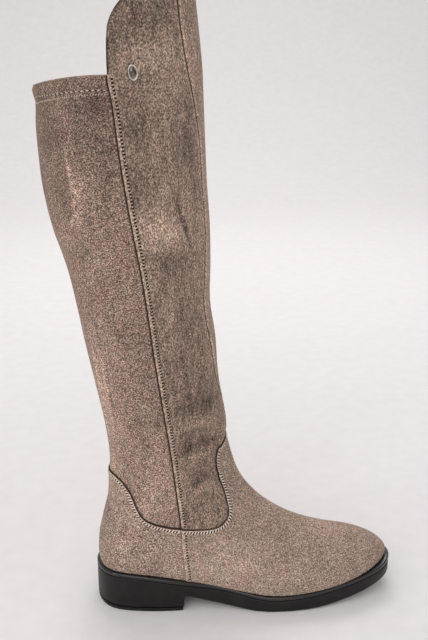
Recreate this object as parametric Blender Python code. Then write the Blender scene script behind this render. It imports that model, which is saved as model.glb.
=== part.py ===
"""Over-the-knee boot for the right foot: moulded sole, welt, insole, hollow upper and a small badge.

World frame: metres, +Z up, +X towards the toe, -Y the outer side of the foot. The tables are in
millimetres, measured from the back of the heel at floor level. The finished boot is moved so that the
middle of its own box stands over the origin.
"""
from typing import Callable, NamedTuple

import bmesh
import bpy
import numpy as np

MM = 0.001

# Driving sizes, in millimetres
OUTSOLE_LENGTH = 265.0
CLEARANCE = 0.3
WELT_THICKNESS = 3.7
TOP_PIECE_THICKNESS = 3.4
INSOLE_THICKNESS = 2.6
INSOLE_PLAY = 0.9
HEEL_BREAST_X = 76.0
HEEL_BREAST_RAKE = 0.8
WAIST_HEIGHT = 15.0
WAIST_BEND = 1.6
TREAD_START_X = 146.0
TREAD_END_X = 172.0
TOE_SPRING = 15.5
SPRING_BEND = 1.9
WALL = 1.3
PANEL_STEP = 0.8
STEP_RUN = 0.6
TREAD_EDGE = 1.4
SOLE_LIP = 0.7
SOLE_INSET = 0.2
WELT_LOWER_EDGE = 0.9
WELT_UPPER_EDGE = 1.4
WELT_SHOULDER = 0.42
TOP_PIECE_SETBACK = 0.2
TOP_PIECE_INSET = 0.6
TOP_PIECE_EDGE = 0.8
INSOLE_EDGE = 0.5
BADGE_WIDTH = 7.6
BADGE_HEIGHT = 12.4
BADGE_THICKNESS = 1.8
BADGE_LEAN_DEG = 10.0

# Counts of points, columns and rows, and the finest steps between them
SOLE_STATIONS = 38
TOP_PIECE_STATIONS = 14
INSOLE_STATIONS = 21
STATION_GAP = 1.5
BADGE_SIDES = 24
FOOT_ROWS_PER_RING = 2
ANKLE_ROWS_PER_RING = 2
WING_ROWS = 5
SLOPE_STEP = 0.01
SHARP_ANGLE_DEG = 35.0


class Station(NamedTuple):
    """Half width and centre line of the sole at one distance from the back of the heel."""
    x: float
    half: float
    centre: float


SOLE_PLAN = (
    Station(8.0, 23.0, 0.0),
    Station(24.0, 32.2, -0.2),
    Station(66.0, 35.0, -1.8),
    Station(106.0, 33.8, -2.4),
    Station(150.0, 42.8, -1.8),
    Station(190.0, 43.6, 1.0),
    Station(225.0, 36.2, 2.8),
    Station(250.0, 25.4, 3.4),
    Station(260.0, 16.2, 3.6),
)


class Level(NamedTuple):
    """Height of the feather line, where the upper meets the welt."""
    x: float
    z: float


FEATHER = (
    Level(0.0, 36.5),
    Level(25.0, 36.4),
    Level(50.0, 34.0),
    Level(75.0, 29.2),
    Level(100.0, 24.8),
    Level(125.0, 19.6),
    Level(150.0, 15.4),
    Level(175.0, 15.8),
    Level(200.0, 18.4),
    Level(225.0, 21.8),
    Level(250.0, 26.6),
    Level(265.0, 30.4),
)


class Ring(NamedTuple):
    """One closed section of the last: its back, side and front, and four half widths on the way."""
    name: str
    back_x: float
    back_z: float
    side_x: float
    side_z: float
    front_x: float
    front_z: float
    rear: float
    middle: float
    fore: float
    tip: float
    roll: float


WIDTH_PLACES = (0.10, 0.35, 0.65, 0.90)

RINGS = (
    Ring("feather line", 4.0, 36.5, 78.5, 28.6, 258.6, 28.8, 29.8, 31.4, 40.4, 28.6, 0.0),
    Ring("foot wall", 2.8, 43.0, 78.2, 33.4, 259.6, 34.6, 31.4, 32.2, 41.4, 29.2, 0.0),
    Ring("toe wall", 2.8, 50.0, 77.8, 38.0, 254.8, 40.8, 31.6, 32.4, 41.2, 28.4, 0.0),
    Ring("toe cap", 3.4, 57.0, 77.2, 43.0, 245.2, 47.6, 31.4, 32.6, 40.0, 27.0, 0.0),
    Ring("toe box", 4.2, 64.0, 76.8, 48.0, 229.2, 54.2, 30.8, 32.8, 37.8, 24.6, 0.0),
    Ring("ball", 6.0, 71.5, 76.2, 53.0, 205.4, 60.0, 30.0, 32.8, 35.0, 22.2, 0.0),
    Ring("vamp", 8.0, 80.0, 75.8, 58.5, 178.0, 69.4, 29.0, 32.8, 33.0, 20.6, 0.0),
    Ring("waist", 10.4, 89.0, 75.2, 64.0, 155.8, 82.0, 27.5, 32.8, 32.0, 20.0, 0.0),
    Ring("instep", 12.4, 98.0, 75.2, 69.5, 138.2, 97.0, 26.0, 32.8, 32.0, 20.0, 0.0),
    Ring("throat", 13.4, 108.0, 74.8, 74.8, 123.8, 118.0, 24.5, 33.0, 32.4, 20.0, 0.0),
    Ring("vamp edge", 13.6, 119.0, 74.5, 80.0, 113.8, 152.0, 23.4, 33.4, 33.2, 20.8, 0.0),
    Ring("ankle", 14.4, 133.0, 73.2, 93.0, 114.2, 162.0, 23.0, 34.2, 34.2, 21.6, 0.0),
    Ring("low leg", 13.4, 151.0, 70.2, 120.0, 113.4, 173.0, 23.4, 35.6, 35.6, 22.4, 0.0),
    Ring("leg 170", 10.2, 174.0, 66.2, 154.0, 110.4, 189.0, 24.6, 38.0, 38.0, 23.8, 0.0),
    Ring("leg 205", 4.2, 205.0, 60.3, 196.0, 107.0, 213.0, 26.6, 41.6, 41.4, 25.8, 0.0),
    Ring("leg 240", -2.6, 240.0, 54.8, 236.0, 105.0, 243.0, 28.8, 45.4, 45.0, 27.8, 0.0),
    Ring("leg 272", -8.0, 272.0, 50.6, 272.0, 100.6, 274.0, 30.8, 48.8, 48.2, 29.6, 0.0),
    Ring("leg 305", -14.6, 305.0, 46.2, 306.0, 101.0, 307.0, 32.8, 52.0, 51.2, 31.4, 0.0),
    Ring("leg 337", -24.2, 337.0, 40.9, 338.0, 100.4, 339.0, 34.6, 54.8, 53.8, 33.0, 0.5),
    Ring("leg 368", -30.2, 368.0, 35.8, 370.0, 98.2, 372.0, 36.0, 57.0, 55.8, 34.2, 1.5),
    Ring("leg 400", -32.6, 399.0, 31.4, 402.0, 96.9, 405.0, 37.0, 58.6, 57.2, 35.0, 3.0),
    Ring("leg 430", -33.8, 426.0, 28.2, 431.0, 95.8, 436.0, 37.6, 59.6, 58.2, 35.6, 4.2),
    Ring("hem", -36.2, 446.5, 24.6, 453.5, 94.8, 461.0, 38.0, 60.2, 58.8, 36.0, 5.0),
    Ring("wing", -37.2, 478.0, 24.8, 486.0, 91.8, 493.0, 38.0, 60.2, 58.8, 36.0, 5.0),
    Ring("wing top", -38.2, 508.0, 26.0, 516.0, 88.4, 523.0, 37.6, 59.6, 58.2, 35.6, 5.0),
)


class EdgePoint(NamedTuple):
    """Place on the last of the top edge of counter and vamp, going round from the back to the front."""
    turn: float
    ring: float


PANEL_EDGE = (
    EdgePoint(0.00, 10.35),
    EdgePoint(0.12, 10.45),
    EdgePoint(0.27, 10.78),
    EdgePoint(0.44, 10.95),
    EdgePoint(0.52, 10.70),
    EdgePoint(0.57, 10.15),
    EdgePoint(0.62, 9.45),
    EdgePoint(0.68, 9.15),
    EdgePoint(0.75, 9.25),
    EdgePoint(0.85, 9.63),
    EdgePoint(1.00, 9.93),
    EdgePoint(1.10, 9.85),
    EdgePoint(1.20, 9.45),
    EdgePoint(1.30, 8.90),
    EdgePoint(1.385, 8.60),
    EdgePoint(1.46, 8.53),
    EdgePoint(1.53, 8.63),
    EdgePoint(1.57, 8.90),
    EdgePoint(1.592, 9.40),
    EdgePoint(1.605, 10.10),
    EdgePoint(1.617, 11.00),
    EdgePoint(1.635, 11.65),
    EdgePoint(1.67, 11.92),
    EdgePoint(1.73, 11.65),
    EdgePoint(1.82, 11.00),
    EdgePoint(1.91, 10.35),
    EdgePoint(2.00, 10.00),
)


class Lean(NamedTuple):
    """How far the columns by the vamp's curved edge lean to the front at one ring, in turns."""
    ring: float
    turn: float


EDGE_LEAN = (
    Lean(8.4, 0.0),
    Lean(8.9, 0.020),
    Lean(9.4, 0.033),
    Lean(10.1, 0.015),
    Lean(11.0, -0.037),
    Lean(11.65, -0.075),
    Lean(12.2, -0.070),
    Lean(13.2, -0.030),
    Lean(14.5, 0.0),
)
LEAN_TURN = 1.61
LEAN_REACH = 0.33

# Turns of the upper's columns on each side, closer where the panel edge bends
BACK_TURNS = (0.12, 0.24, 0.35, 0.44, 0.51, 0.57, 0.63, 0.71, 0.81, 0.91)
FRONT_TURNS = (
    1.035, 1.10, 1.20, 1.30, 1.385, 1.46, 1.53, 1.57, 1.592, 1.605, 1.617, 1.635, 1.67, 1.73, 1.82, 1.91,
)

VAMP_EDGE_RING = 10
EDGE_PULL_BELOW = 5.0
EDGE_PULL_ABOVE = 4.0
FEATHER_FADE_RING = 13
CENTRE_FADE_RING = 12
HEM_RING = 22
WING_CORNER_RING = 22.75
WING_TOP_RING = 24.0
WING_CORNER_TURN = 0.38
FRONT_RISE = 1.45
BADGE_RING = 22.05
BADGE_TURN = 1.165


class BadgeLevel(NamedTuple):
    """Size and rise of one oval of the badge, as shares of its own size and thickness."""
    size: float
    rise: float


BADGE_PROFILE = (
    BadgeLevel(1.0, 0.0),
    BadgeLevel(1.0, 0.65),
    BadgeLevel(0.94, 1.0),
    BadgeLevel(0.80, 1.0),
    BadgeLevel(0.74, 0.62),
    BadgeLevel(0.40, 0.95),
)

SUEDE = ("suede", (0.245, 0.180, 0.140, 1.0), 0.95, 0.0)
BLACK_RUBBER = ("black rubber", (0.012, 0.012, 0.013, 1.0), 0.45, 0.0)
BLACK_WELT = ("black welt", (0.016, 0.015, 0.016, 1.0), 0.28, 0.0)
INSOLE_BOARD = ("insole lining", (0.16, 0.12, 0.095, 1.0), 0.85, 0.0)
BADGE_METAL = ("badge metal", (0.62, 0.60, 0.57, 1.0), 0.25, 1.0)


def smooth_step(share: np.ndarray) -> np.ndarray:
    """Ease from 0 to 1, held outside that range."""
    share = np.clip(share, 0.0, 1.0)
    return share * share * (3.0 - 2.0 * share)


def unit(vectors: np.ndarray) -> np.ndarray:
    """The vectors at length 1."""
    return vectors / np.linalg.norm(vectors, axis=-1, keepdims=True)


def spline(knots: np.ndarray, values: np.ndarray, at: np.ndarray) -> np.ndarray:
    """Smooth curve through the knots, with slopes taken from the neighbouring knots."""
    slopes = np.gradient(values, knots)
    at = np.clip(at, knots[0], knots[-1])
    left = np.clip(np.searchsorted(knots, at, side="right") - 1, 0, len(knots) - 2)
    span = knots[left + 1] - knots[left]
    part = (at - knots[left]) / span
    rise = values[left + 1] - values[left]
    ease_in = part * (1.0 - part) ** 2 * span * slopes[left]
    ease_out = part * part * (part - 1.0) * span * slopes[left + 1]
    return values[left] + smooth_step(part) * rise + ease_in + ease_out


def column(table: tuple, field: str) -> np.ndarray:
    """One named column of a table as an array."""
    return np.array([getattr(row, field) for row in table], dtype=float)


def feather_height(x: np.ndarray) -> np.ndarray:
    """Height of the welt's top edge line, where the upper starts."""
    return spline(column(FEATHER, "x"), column(FEATHER, "z"), x)


def centre_line(x: np.ndarray) -> np.ndarray:
    """How far the sole's middle curves to the inner side at x."""
    return spline(column(SOLE_PLAN, "x"), column(SOLE_PLAN, "centre"), x)


def sole_half_width(x: np.ndarray) -> np.ndarray:
    """Half width of the sole, with round ends at heel and toe."""
    share = np.clip(x / OUTSOLE_LENGTH, 0.0, 1.0)
    plan_x = column(SOLE_PLAN, "x")
    plan_share = plan_x / OUTSOLE_LENGTH
    fullness = column(SOLE_PLAN, "half") / np.sqrt(plan_share * (1.0 - plan_share))
    return np.sqrt(share * (1.0 - share)) * spline(plan_x, fullness, x)


def tread_height(x: np.ndarray) -> np.ndarray:
    """Underside of the sole ahead of the heel: arched waist, flat tread and toe spring."""
    arch = np.clip((TREAD_START_X - x) / (TREAD_START_X - HEEL_BREAST_X), 0.0, 1.0)
    spring = np.clip((x - TREAD_END_X) / (OUTSOLE_LENGTH - TREAD_END_X), 0.0, 1.0)
    return WAIST_HEIGHT * arch ** WAIST_BEND + TOE_SPRING * spring ** SPRING_BEND


def sole_underside(x: np.ndarray) -> np.ndarray:
    """Underside of the moulded unit, with the heel block down to its top piece."""
    heel = TOP_PIECE_THICKNESS + CLEARANCE
    return np.where(x < HEEL_BREAST_X + HEEL_BREAST_RAKE / 2.0, heel, tread_height(x))


def ring_value(field: str, t: np.ndarray) -> np.ndarray:
    """A ring's measure at place t up the boot, smooth between the rows of the table."""
    return spline(np.arange(len(RINGS), dtype=float), column(RINGS, field), t)


def half_width(t: np.ndarray, share: np.ndarray) -> np.ndarray:
    """Half width of ring t at a share of its length, round at both ends."""
    places = np.array(WIDTH_PLACES)
    round_end = 2.0 * np.sqrt(np.clip(share * (1.0 - share), 0.0, None))
    fullness = np.zeros_like(share)
    for i, field in enumerate(("rear", "middle", "fore", "tip")):
        weight = np.ones_like(share)
        for j, place in enumerate(places):
            if j != i:
                weight = weight * (share - place) / (places[i] - place)
        whole = 2.0 * np.sqrt(places[i] * (1.0 - places[i]))
        fullness = fullness + weight * ring_value(field, t) / whole
    return round_end * fullness


def last_points(t: np.ndarray, turn: np.ndarray) -> np.ndarray:
    """Points on the last.

    t counts rings upwards. turn runs from 0 at the back over 1 at the outer side seam to 2 at the
    front, and over -1 at the inner side seam to -2, which is the front again.
    """
    turn = np.mod(turn + 2.0, 4.0) - 2.0
    angle = np.abs(turn) * np.pi / 2.0
    outer = np.sign(turn)
    behind = angle <= np.pi / 2.0
    back_x, side_x, front_x = (ring_value(f, t) for f in ("back_x", "side_x", "front_x"))
    reach = np.cos(angle)
    x = np.where(behind, side_x - (side_x - back_x) * reach, side_x - (front_x - side_x) * reach)
    y = -outer * half_width(t, (x - back_x) / (front_x - back_x))
    y = y + centre_line(x) * np.clip(1.0 - t / CENTRE_FADE_RING, 0.0, 1.0)

    follow = np.clip((FEATHER_FADE_RING - t) / (FEATHER_FADE_RING - VAMP_EDGE_RING), 0.0, 1.0)
    back_lift = ring_value("back_z", t) - follow * feather_height(back_x)
    side_lift = ring_value("side_z", t) - follow * feather_height(side_x)
    front_lift = ring_value("front_z", t) - follow * feather_height(front_x)
    toward_side = np.sin(angle) ** 2
    toward_front = smooth_step(np.abs(turn) - 1.0) ** FRONT_RISE
    lift = np.where(behind, back_lift + (side_lift - back_lift) * toward_side,
                    side_lift + (front_lift - side_lift) * toward_front)
    z = follow * feather_height(x) + lift + ring_value("roll", t) * outer * np.sin(angle)
    return np.stack([x, y, z], axis=-1)


def last_slopes(t: np.ndarray, turn: np.ndarray) -> tuple[np.ndarray, np.ndarray]:
    """Ways along the last from ring to ring and from turn to turn."""
    step = SLOPE_STEP
    up = last_points(t + step, turn) - last_points(np.maximum(t - step, 0.0), turn)
    around = last_points(t, turn + step) - last_points(t, turn - step)
    return up, around


def last_normals(t: np.ndarray, turn: np.ndarray) -> np.ndarray:
    """Unit normals that point out of the boot."""
    up, around = last_slopes(t, turn)
    return unit(np.cross(around, up))


def material(name: str, colour: tuple, roughness: float, metallic: float) -> bpy.types.Material:
    """A plain Principled material."""
    made = bpy.data.materials.new(name)
    made.use_nodes = True
    shader = made.node_tree.nodes["Principled BSDF"]
    shader.inputs["Base Color"].default_value = colour
    shader.inputs["Roughness"].default_value = roughness
    shader.inputs["Metallic"].default_value = metallic
    return made


class Solid(NamedTuple):
    """A closed body in millimetres, ready to become an object."""
    name: str
    points: np.ndarray
    faces: list
    finish: tuple


def add_object(solid: Solid, shift: np.ndarray) -> None:
    """Make one object from a solid, moved by shift and turned into metres."""
    mesh = bpy.data.meshes.new(solid.name)
    bm = bmesh.new()
    verts = [bm.verts.new((point + shift) * MM) for point in solid.points]
    for face in solid.faces:
        bm.faces.new([verts[i] for i in face])
    bmesh.ops.recalc_face_normals(bm, faces=bm.faces)
    bmesh.ops.triangulate(bm, faces=bm.faces)
    bm.to_mesh(mesh)
    bm.free()
    mesh.materials.append(material(*solid.finish))
    mesh.shade_smooth()
    mesh.set_sharp_from_angle(angle=np.radians(SHARP_ANGLE_DEG))
    bpy.context.scene.collection.objects.link(bpy.data.objects.new(solid.name, mesh))


class Outline(NamedTuple):
    """A closed outline seen from above, paired across the sole for its top and bottom faces."""
    points: np.ndarray
    normals: np.ndarray
    pairs: list


def outline_normals(points: np.ndarray) -> np.ndarray:
    """Normals of a closed outline in plan, pointing out."""
    along = np.roll(points, -1, axis=0) - np.roll(points, 1, axis=0)
    normals = unit(np.stack([along[:, 1], -along[:, 0]], axis=-1))
    middle = points.mean(axis=0)
    if np.sum(normals * (points - middle)) < 0.0:
        normals = -normals
    return normals


def sole_outline(end_x: float, count: int, extra: tuple = ()) -> Outline:
    """The sole's outline from the back of the heel to end_x, with a round toe or a square cut end."""
    swing = np.linspace(0.0, np.pi, count)
    if end_x < OUTSOLE_LENGTH:
        swing = swing / 2.0
    x = (1.0 - np.cos(swing)) / (1.0 - np.cos(swing[-1])) * end_x
    clear = [np.min(np.abs(value - np.array(extra)), initial=np.inf) > STATION_GAP for value in x]
    x = np.sort(np.concatenate([x[clear], np.array(extra)]))
    half = sole_half_width(x)
    centre = centre_line(x)
    outer = np.stack([x, centre - half], axis=-1)
    inner = np.stack([x, centre + half], axis=-1)
    last = len(x) - 1 if end_x >= OUTSOLE_LENGTH else len(x)
    points = np.concatenate([outer, inner[last - 1:0:-1]])
    total = len(points)
    pairs = [(i, (total - i) % total) for i in range(1, last)]
    normals = outline_normals(points)
    if end_x < OUTSOLE_LENGTH:
        mitre = np.ones(2)
        normals[last - 1] = mitre * (1.0, -1.0)
        normals[last] = mitre
    return Outline(points, normals, pairs)


def slab(name: str, outline: Outline, levels: list, finish: tuple) -> Solid:
    """A body between its lowest and highest level.

    Each level is an inset from the outline and a height that may follow x.
    """
    count = len(outline.points)
    points = []
    for inset, height in levels:
        plan = outline.points - outline.normals * inset
        points.append(np.column_stack([plan, height(plan[:, 0])]))
    faces = []
    for level in range(len(levels) - 1):
        for i in range(count):
            j = (i + 1) % count
            low, high = level * count, (level + 1) * count
            faces.append((low + i, low + j, high + j, high + i))
    for base in (0, (len(levels) - 1) * count):
        first = outline.pairs[0]
        faces.append((base, base + first[0], base + first[1]))
        for (a, b), (c, d) in zip(outline.pairs, outline.pairs[1:]):
            faces.append((base + a, base + c, base + d, base + b))
        a, b = outline.pairs[-1]
        if (b - a) % count > 1:
            faces.append((base + a, base + a + 1, base + b))
    return Solid(name, np.concatenate(points), faces, finish)


def above(surface: Callable, rise: float) -> Callable:
    """The given surface, moved up by rise."""
    return lambda x: surface(x) + rise


def make_outsole() -> Solid:
    """Moulded sole unit with heel block, breast, waist, tread and toe spring."""
    breast = (HEEL_BREAST_X, HEEL_BREAST_X + HEEL_BREAST_RAKE)
    outline = sole_outline(OUTSOLE_LENGTH, SOLE_STATIONS, breast)
    top = -WELT_THICKNESS - 2.0 * CLEARANCE
    levels = [
        (SOLE_INSET + TREAD_EDGE, sole_underside),
        (SOLE_INSET, above(sole_underside, TREAD_EDGE)),
        (SOLE_INSET, above(feather_height, top - SOLE_LIP)),
        (SOLE_INSET + SOLE_LIP, above(feather_height, top)),
    ]
    return slab("outsole", outline, levels, BLACK_RUBBER)


def make_heel_top_piece() -> Solid:
    """Wearing piece under the heel block."""
    outline = sole_outline(HEEL_BREAST_X - TOP_PIECE_SETBACK, TOP_PIECE_STATIONS)
    levels = [
        (TOP_PIECE_INSET + TOP_PIECE_EDGE, np.zeros_like),
        (TOP_PIECE_INSET, above(np.zeros_like, TOP_PIECE_EDGE)),
        (TOP_PIECE_INSET, above(np.zeros_like, TOP_PIECE_THICKNESS)),
    ]
    return slab("heel_top_piece", outline, levels, BLACK_RUBBER)


def make_welt() -> Solid:
    """Plate under the upper, with a rounded edge that shows as a bead."""
    outline = sole_outline(OUTSOLE_LENGTH, SOLE_STATIONS)
    top = -CLEARANCE
    bottom = top - WELT_THICKNESS
    levels = [
        (WELT_LOWER_EDGE, above(feather_height, bottom)),
        (0.0, above(feather_height, bottom + WELT_LOWER_EDGE)),
        (0.0, above(feather_height, top - WELT_UPPER_EDGE)),
        (WELT_SHOULDER, above(feather_height, top - WELT_SHOULDER)),
        (WELT_UPPER_EDGE, above(feather_height, top)),
    ]
    return slab("welt", outline, levels, BLACK_WELT)


def upper_turns() -> np.ndarray:
    """Turns of the upper's columns, going round by the outer side, with each side seam doubled."""
    outer = np.array((0.0, *BACK_TURNS, 1.0, 1.0, *FRONT_TURNS))
    inner = -outer[:0:-1]
    return np.concatenate([outer, [2.0], inner])


def upper_rings() -> np.ndarray:
    """Rings of the upper's full rows, with the edge of vamp and counter doubled."""
    foot = np.arange(VAMP_EDGE_RING * FOOT_ROWS_PER_RING) / FOOT_ROWS_PER_RING
    ankle_rows = (FEATHER_FADE_RING - VAMP_EDGE_RING) * ANKLE_ROWS_PER_RING
    ankle = VAMP_EDGE_RING + np.arange(ankle_rows) / ANKLE_ROWS_PER_RING
    leg = np.arange(FEATHER_FADE_RING, HEM_RING + 1)
    return np.concatenate([foot, [VAMP_EDGE_RING], ankle, leg])


def follow_panel_edge(ring: np.ndarray, turn: np.ndarray) -> np.ndarray:
    """Pull the rows near the ankle up or down, so that one of them runs along the panel edge."""
    edge = spline(column(PANEL_EDGE, "turn"), column(PANEL_EDGE, "ring"), np.abs(turn))
    below = (ring - VAMP_EDGE_RING) / EDGE_PULL_BELOW + 1.0
    over = (VAMP_EDGE_RING - ring) / EDGE_PULL_ABOVE + 1.0
    return ring + (edge - VAMP_EDGE_RING) * smooth_step(np.minimum(below, over))


def lean_columns(t: np.ndarray, turn: np.ndarray) -> np.ndarray:
    """Lean the columns by the vamp's curved edge, so that the edge can hang over towards the front."""
    lean = spline(column(EDGE_LEAN, "ring"), column(EDGE_LEAN, "turn"), t)
    near = smooth_step(1.0 - np.abs(np.abs(turn) - LEAN_TURN) / LEAN_REACH)
    return turn + np.sign(turn) * lean * near


class Grid(NamedTuple):
    """Points of the last in rows and columns, their normals, and how many panels lie on them."""
    points: np.ndarray
    normals: np.ndarray
    steps: np.ndarray

    def side(self, offset: np.ndarray) -> np.ndarray:
        """Points at the given distance out from the last, as one list."""
        return (self.points + self.normals * offset[..., None]).reshape(-1, 3)


def upper_grid() -> Grid:
    """Full rows of the upper, with a short step at the edge of every lapped panel."""
    rings, turns = upper_rings(), upper_turns()
    ring, turn = np.meshgrid(rings, turns, indexing="ij")
    t = follow_panel_edge(ring, turn)
    turn = lean_columns(t, turn)
    points, normals = last_points(t, turn), last_normals(t, turn)
    along_rows = np.roll(points, -1, axis=1) - np.roll(points, 1, axis=1)
    along_columns = np.gradient(points, axis=0)
    up = unit(np.cross(normals, along_rows)) * STEP_RUN / 2.0
    around = unit(np.cross(along_columns, normals)) * STEP_RUN / 2.0

    edge_row = int(np.argmax(rings == VAMP_EDGE_RING))
    points[edge_row] -= up[edge_row]
    points[edge_row + 1] += up[edge_row + 1]
    for seam in seam_columns():
        points[:, seam] -= around[:, seam]
        points[:, seam + 1] += around[:, seam + 1]

    steps = np.zeros(t.shape)
    steps[:edge_row + 1] += 1.0
    outer_seam, inner_seam = seam_columns()
    steps[:, outer_seam + 1:inner_seam + 1] += 1.0
    return Grid(points, normals, steps)


def seam_columns() -> tuple[int, int]:
    """First column of the doubled side seam on the outer and on the inner side."""
    outer = len(BACK_TURNS) + 1
    return outer, outer + 2 * len(FRONT_TURNS) + 3


def wing_grid() -> Grid:
    """Rows of the front wing above the hem, with a rounded corner at each back edge."""
    outer_seam, inner_seam = seam_columns()
    turn = upper_turns()[outer_seam + 1:inner_seam + 1]
    along = np.clip((np.abs(turn) - 1.0) / WING_CORNER_TURN, 0.0, 1.0)
    rounded = np.sqrt(1.0 - (1.0 - along) ** 2)
    top = WING_CORNER_RING + (WING_TOP_RING - WING_CORNER_RING) * rounded
    share = np.arange(1, WING_ROWS + 1)[:, None] / WING_ROWS
    t = HEM_RING + (top - HEM_RING)[None, :] * share
    turns = np.repeat(turn[None, :], WING_ROWS, axis=0)
    points, normals = last_points(t, turns), last_normals(t, turns)
    around = unit(np.cross(np.gradient(points, axis=0), normals)) * STEP_RUN / 2.0
    points[:, 0] += around[:, 0]
    points[:, -1] -= around[:, -1]
    return Grid(points, normals, np.ones(t.shape))


def make_upper() -> Solid:
    """Hollow upper: full rows from the feather line to the hem, and the wing above its front."""
    body, wing = upper_grid(), wing_grid()
    rows, columns = body.steps.shape
    first, wide = seam_columns()[0] + 1, wing.steps.shape[1]
    outside = [grid.side(PANEL_STEP * grid.steps) for grid in (body, wing)]
    inside = [grid.side(np.full(grid.steps.shape, -WALL)) for grid in (body, wing)]
    for shell_points in (outside[0], inside[0]):
        shell_points[:columns, 2] = feather_height(shell_points[:columns, 0])
    points = np.concatenate(outside + inside)
    shell = len(points) // 2

    def index(row: int, col: int) -> int:
        """Number of an outside point, counted along the full rows and then along the wing's."""
        if row < rows:
            return row * columns + col % columns
        return rows * columns + (row - rows) * wide + col - first

    cells = [(r, c) for r in range(rows - 1) for c in range(columns)]
    cells += [(r, c) for r in range(rows - 1, rows - 1 + WING_ROWS) for c in range(first, first + wide - 1)]
    faces = []
    for r, c in cells:
        quad = (index(r, c), index(r, c + 1), index(r + 1, c + 1), index(r + 1, c))
        faces.append(quad)
        faces.append(tuple(i + shell for i in reversed(quad)))

    last_row = rows - 1 + WING_ROWS
    rims = [((0, c), (0, c + 1)) for c in range(columns)]
    rims += [((rows - 1, c), (rows - 1, c + 1)) for c in range(columns) if not first <= c < first + wide - 1]
    rims += [((last_row, c), (last_row, c + 1)) for c in range(first, first + wide - 1)]
    for edge in (first, first + wide - 1):
        rims += [((r, edge), (r + 1, edge)) for r in range(rows - 1, last_row)]
    for start, end in rims:
        a, b = index(*start), index(*end)
        faces.append((a, b, b + shell, a + shell))
    return Solid("upper", points, faces, SUEDE)


def make_insole() -> Solid:
    """Plate on the welt, just inside the upper's wall."""
    half_way = np.linspace(0.0, 2.0, INSOLE_STATIONS)
    turns = np.concatenate([half_way, -half_way[-2:0:-1]])
    points = last_points(np.zeros_like(turns), turns)[:, :2]
    total = len(points)
    pairs = [(i, total - i) for i in range(1, INSOLE_STATIONS - 1)]
    outline = Outline(points, outline_normals(points), pairs)
    edge = WALL + INSOLE_PLAY
    levels = [
        (edge + INSOLE_EDGE, feather_height),
        (edge, above(feather_height, INSOLE_EDGE)),
        (edge, above(feather_height, INSOLE_THICKNESS - INSOLE_EDGE)),
        (edge + INSOLE_EDGE, above(feather_height, INSOLE_THICKNESS)),
    ]
    return slab("insole", outline, levels, INSOLE_BOARD)


def make_badge() -> Solid:
    """Small oval ornament on the outer side of the wing: a rim around a low dome."""
    t, turn = np.array([BADGE_RING]), np.array([BADGE_TURN])
    normal = last_normals(t, turn)[0]
    seat = last_points(t, turn)[0] + normal * (PANEL_STEP + CLEARANCE)
    lean = np.radians(BADGE_LEAN_DEG)
    level = unit(np.cross((0.0, 0.0, 1.0), normal))
    upright = np.cross(normal, level)
    across = level * np.cos(lean) + upright * np.sin(lean)
    along = upright * np.cos(lean) - level * np.sin(lean)
    swing = np.arange(BADGE_SIDES) * 2.0 * np.pi / BADGE_SIDES
    oval = (np.cos(swing)[:, None] * across * BADGE_WIDTH / 2.0
            + np.sin(swing)[:, None] * along * BADGE_HEIGHT / 2.0)
    points = [seat + oval * size + normal * rise * BADGE_THICKNESS for size, rise in BADGE_PROFILE]
    highest = (len(BADGE_PROFILE) - 1) * BADGE_SIDES
    faces = [tuple(reversed(range(BADGE_SIDES))), tuple(range(highest, highest + BADGE_SIDES))]
    for low in range(0, highest, BADGE_SIDES):
        for i in range(BADGE_SIDES):
            j = (i + 1) % BADGE_SIDES
            faces.append((low + i, low + j, low + BADGE_SIDES + j, low + BADGE_SIDES + i))
    return Solid("badge", np.concatenate(points), faces, BADGE_METAL)


def main() -> None:
    """Build every piece and stand the boot over the origin."""
    for old in list(bpy.data.objects):
        bpy.data.objects.remove(old, do_unlink=True)
    solids = [make_outsole(), make_heel_top_piece(), make_welt(), make_insole(), make_upper(), make_badge()]
    every = np.concatenate([solid.points for solid in solids])
    low, high = every.min(axis=0), every.max(axis=0)
    shift = np.array([-(low[0] + high[0]) / 2.0, -(low[1] + high[1]) / 2.0, -low[2]])
    for solid in solids:
        add_object(solid, shift)


main()
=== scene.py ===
"""Looks of the over-the-knee boot: refined meshes, finishes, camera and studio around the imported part.

World frame: metres, +Z up, +X towards the toe, -Y the outer side of the right foot, which faces the camera.
Places and sizes on the boot are in millimetres in the same frame, and MM turns them into metres.
"""
import logging
import math
from dataclasses import dataclass, replace
from enum import Enum, IntEnum
from typing import Iterable, NamedTuple, Optional

import bmesh
import bpy
import numpy as np
from mathutils import Matrix, Vector
from mathutils.bvhtree import BVHTree
from mathutils.kdtree import KDTree


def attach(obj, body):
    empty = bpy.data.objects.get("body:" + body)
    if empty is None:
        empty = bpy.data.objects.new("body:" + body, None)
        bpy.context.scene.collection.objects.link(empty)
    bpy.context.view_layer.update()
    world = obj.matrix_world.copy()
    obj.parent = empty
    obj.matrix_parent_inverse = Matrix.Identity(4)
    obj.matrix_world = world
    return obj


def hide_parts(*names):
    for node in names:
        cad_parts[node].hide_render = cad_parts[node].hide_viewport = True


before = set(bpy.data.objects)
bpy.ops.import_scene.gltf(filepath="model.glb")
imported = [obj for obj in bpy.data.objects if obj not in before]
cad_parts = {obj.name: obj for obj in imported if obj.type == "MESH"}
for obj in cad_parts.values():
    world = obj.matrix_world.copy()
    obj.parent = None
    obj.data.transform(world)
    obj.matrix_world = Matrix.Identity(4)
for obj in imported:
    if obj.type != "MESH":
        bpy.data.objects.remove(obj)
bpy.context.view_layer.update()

MM = 0.001
BODY = "root"
FAR_MM = 99.0

log = logging.getLogger("boot")

Point = tuple[float, float, float]
Pair = tuple[float, float]


class Panel(IntEnum):
    """Parts of the upper's surface, in the order of its material slots."""
    BACK = 0
    FRONT = 1
    COUNTER = 2
    VAMP = 3
    LINING = 4
    # Step faces of the laps and the rim at the welt, in a dark finish that paints the shadow in the step
    EDGE = 5


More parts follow.
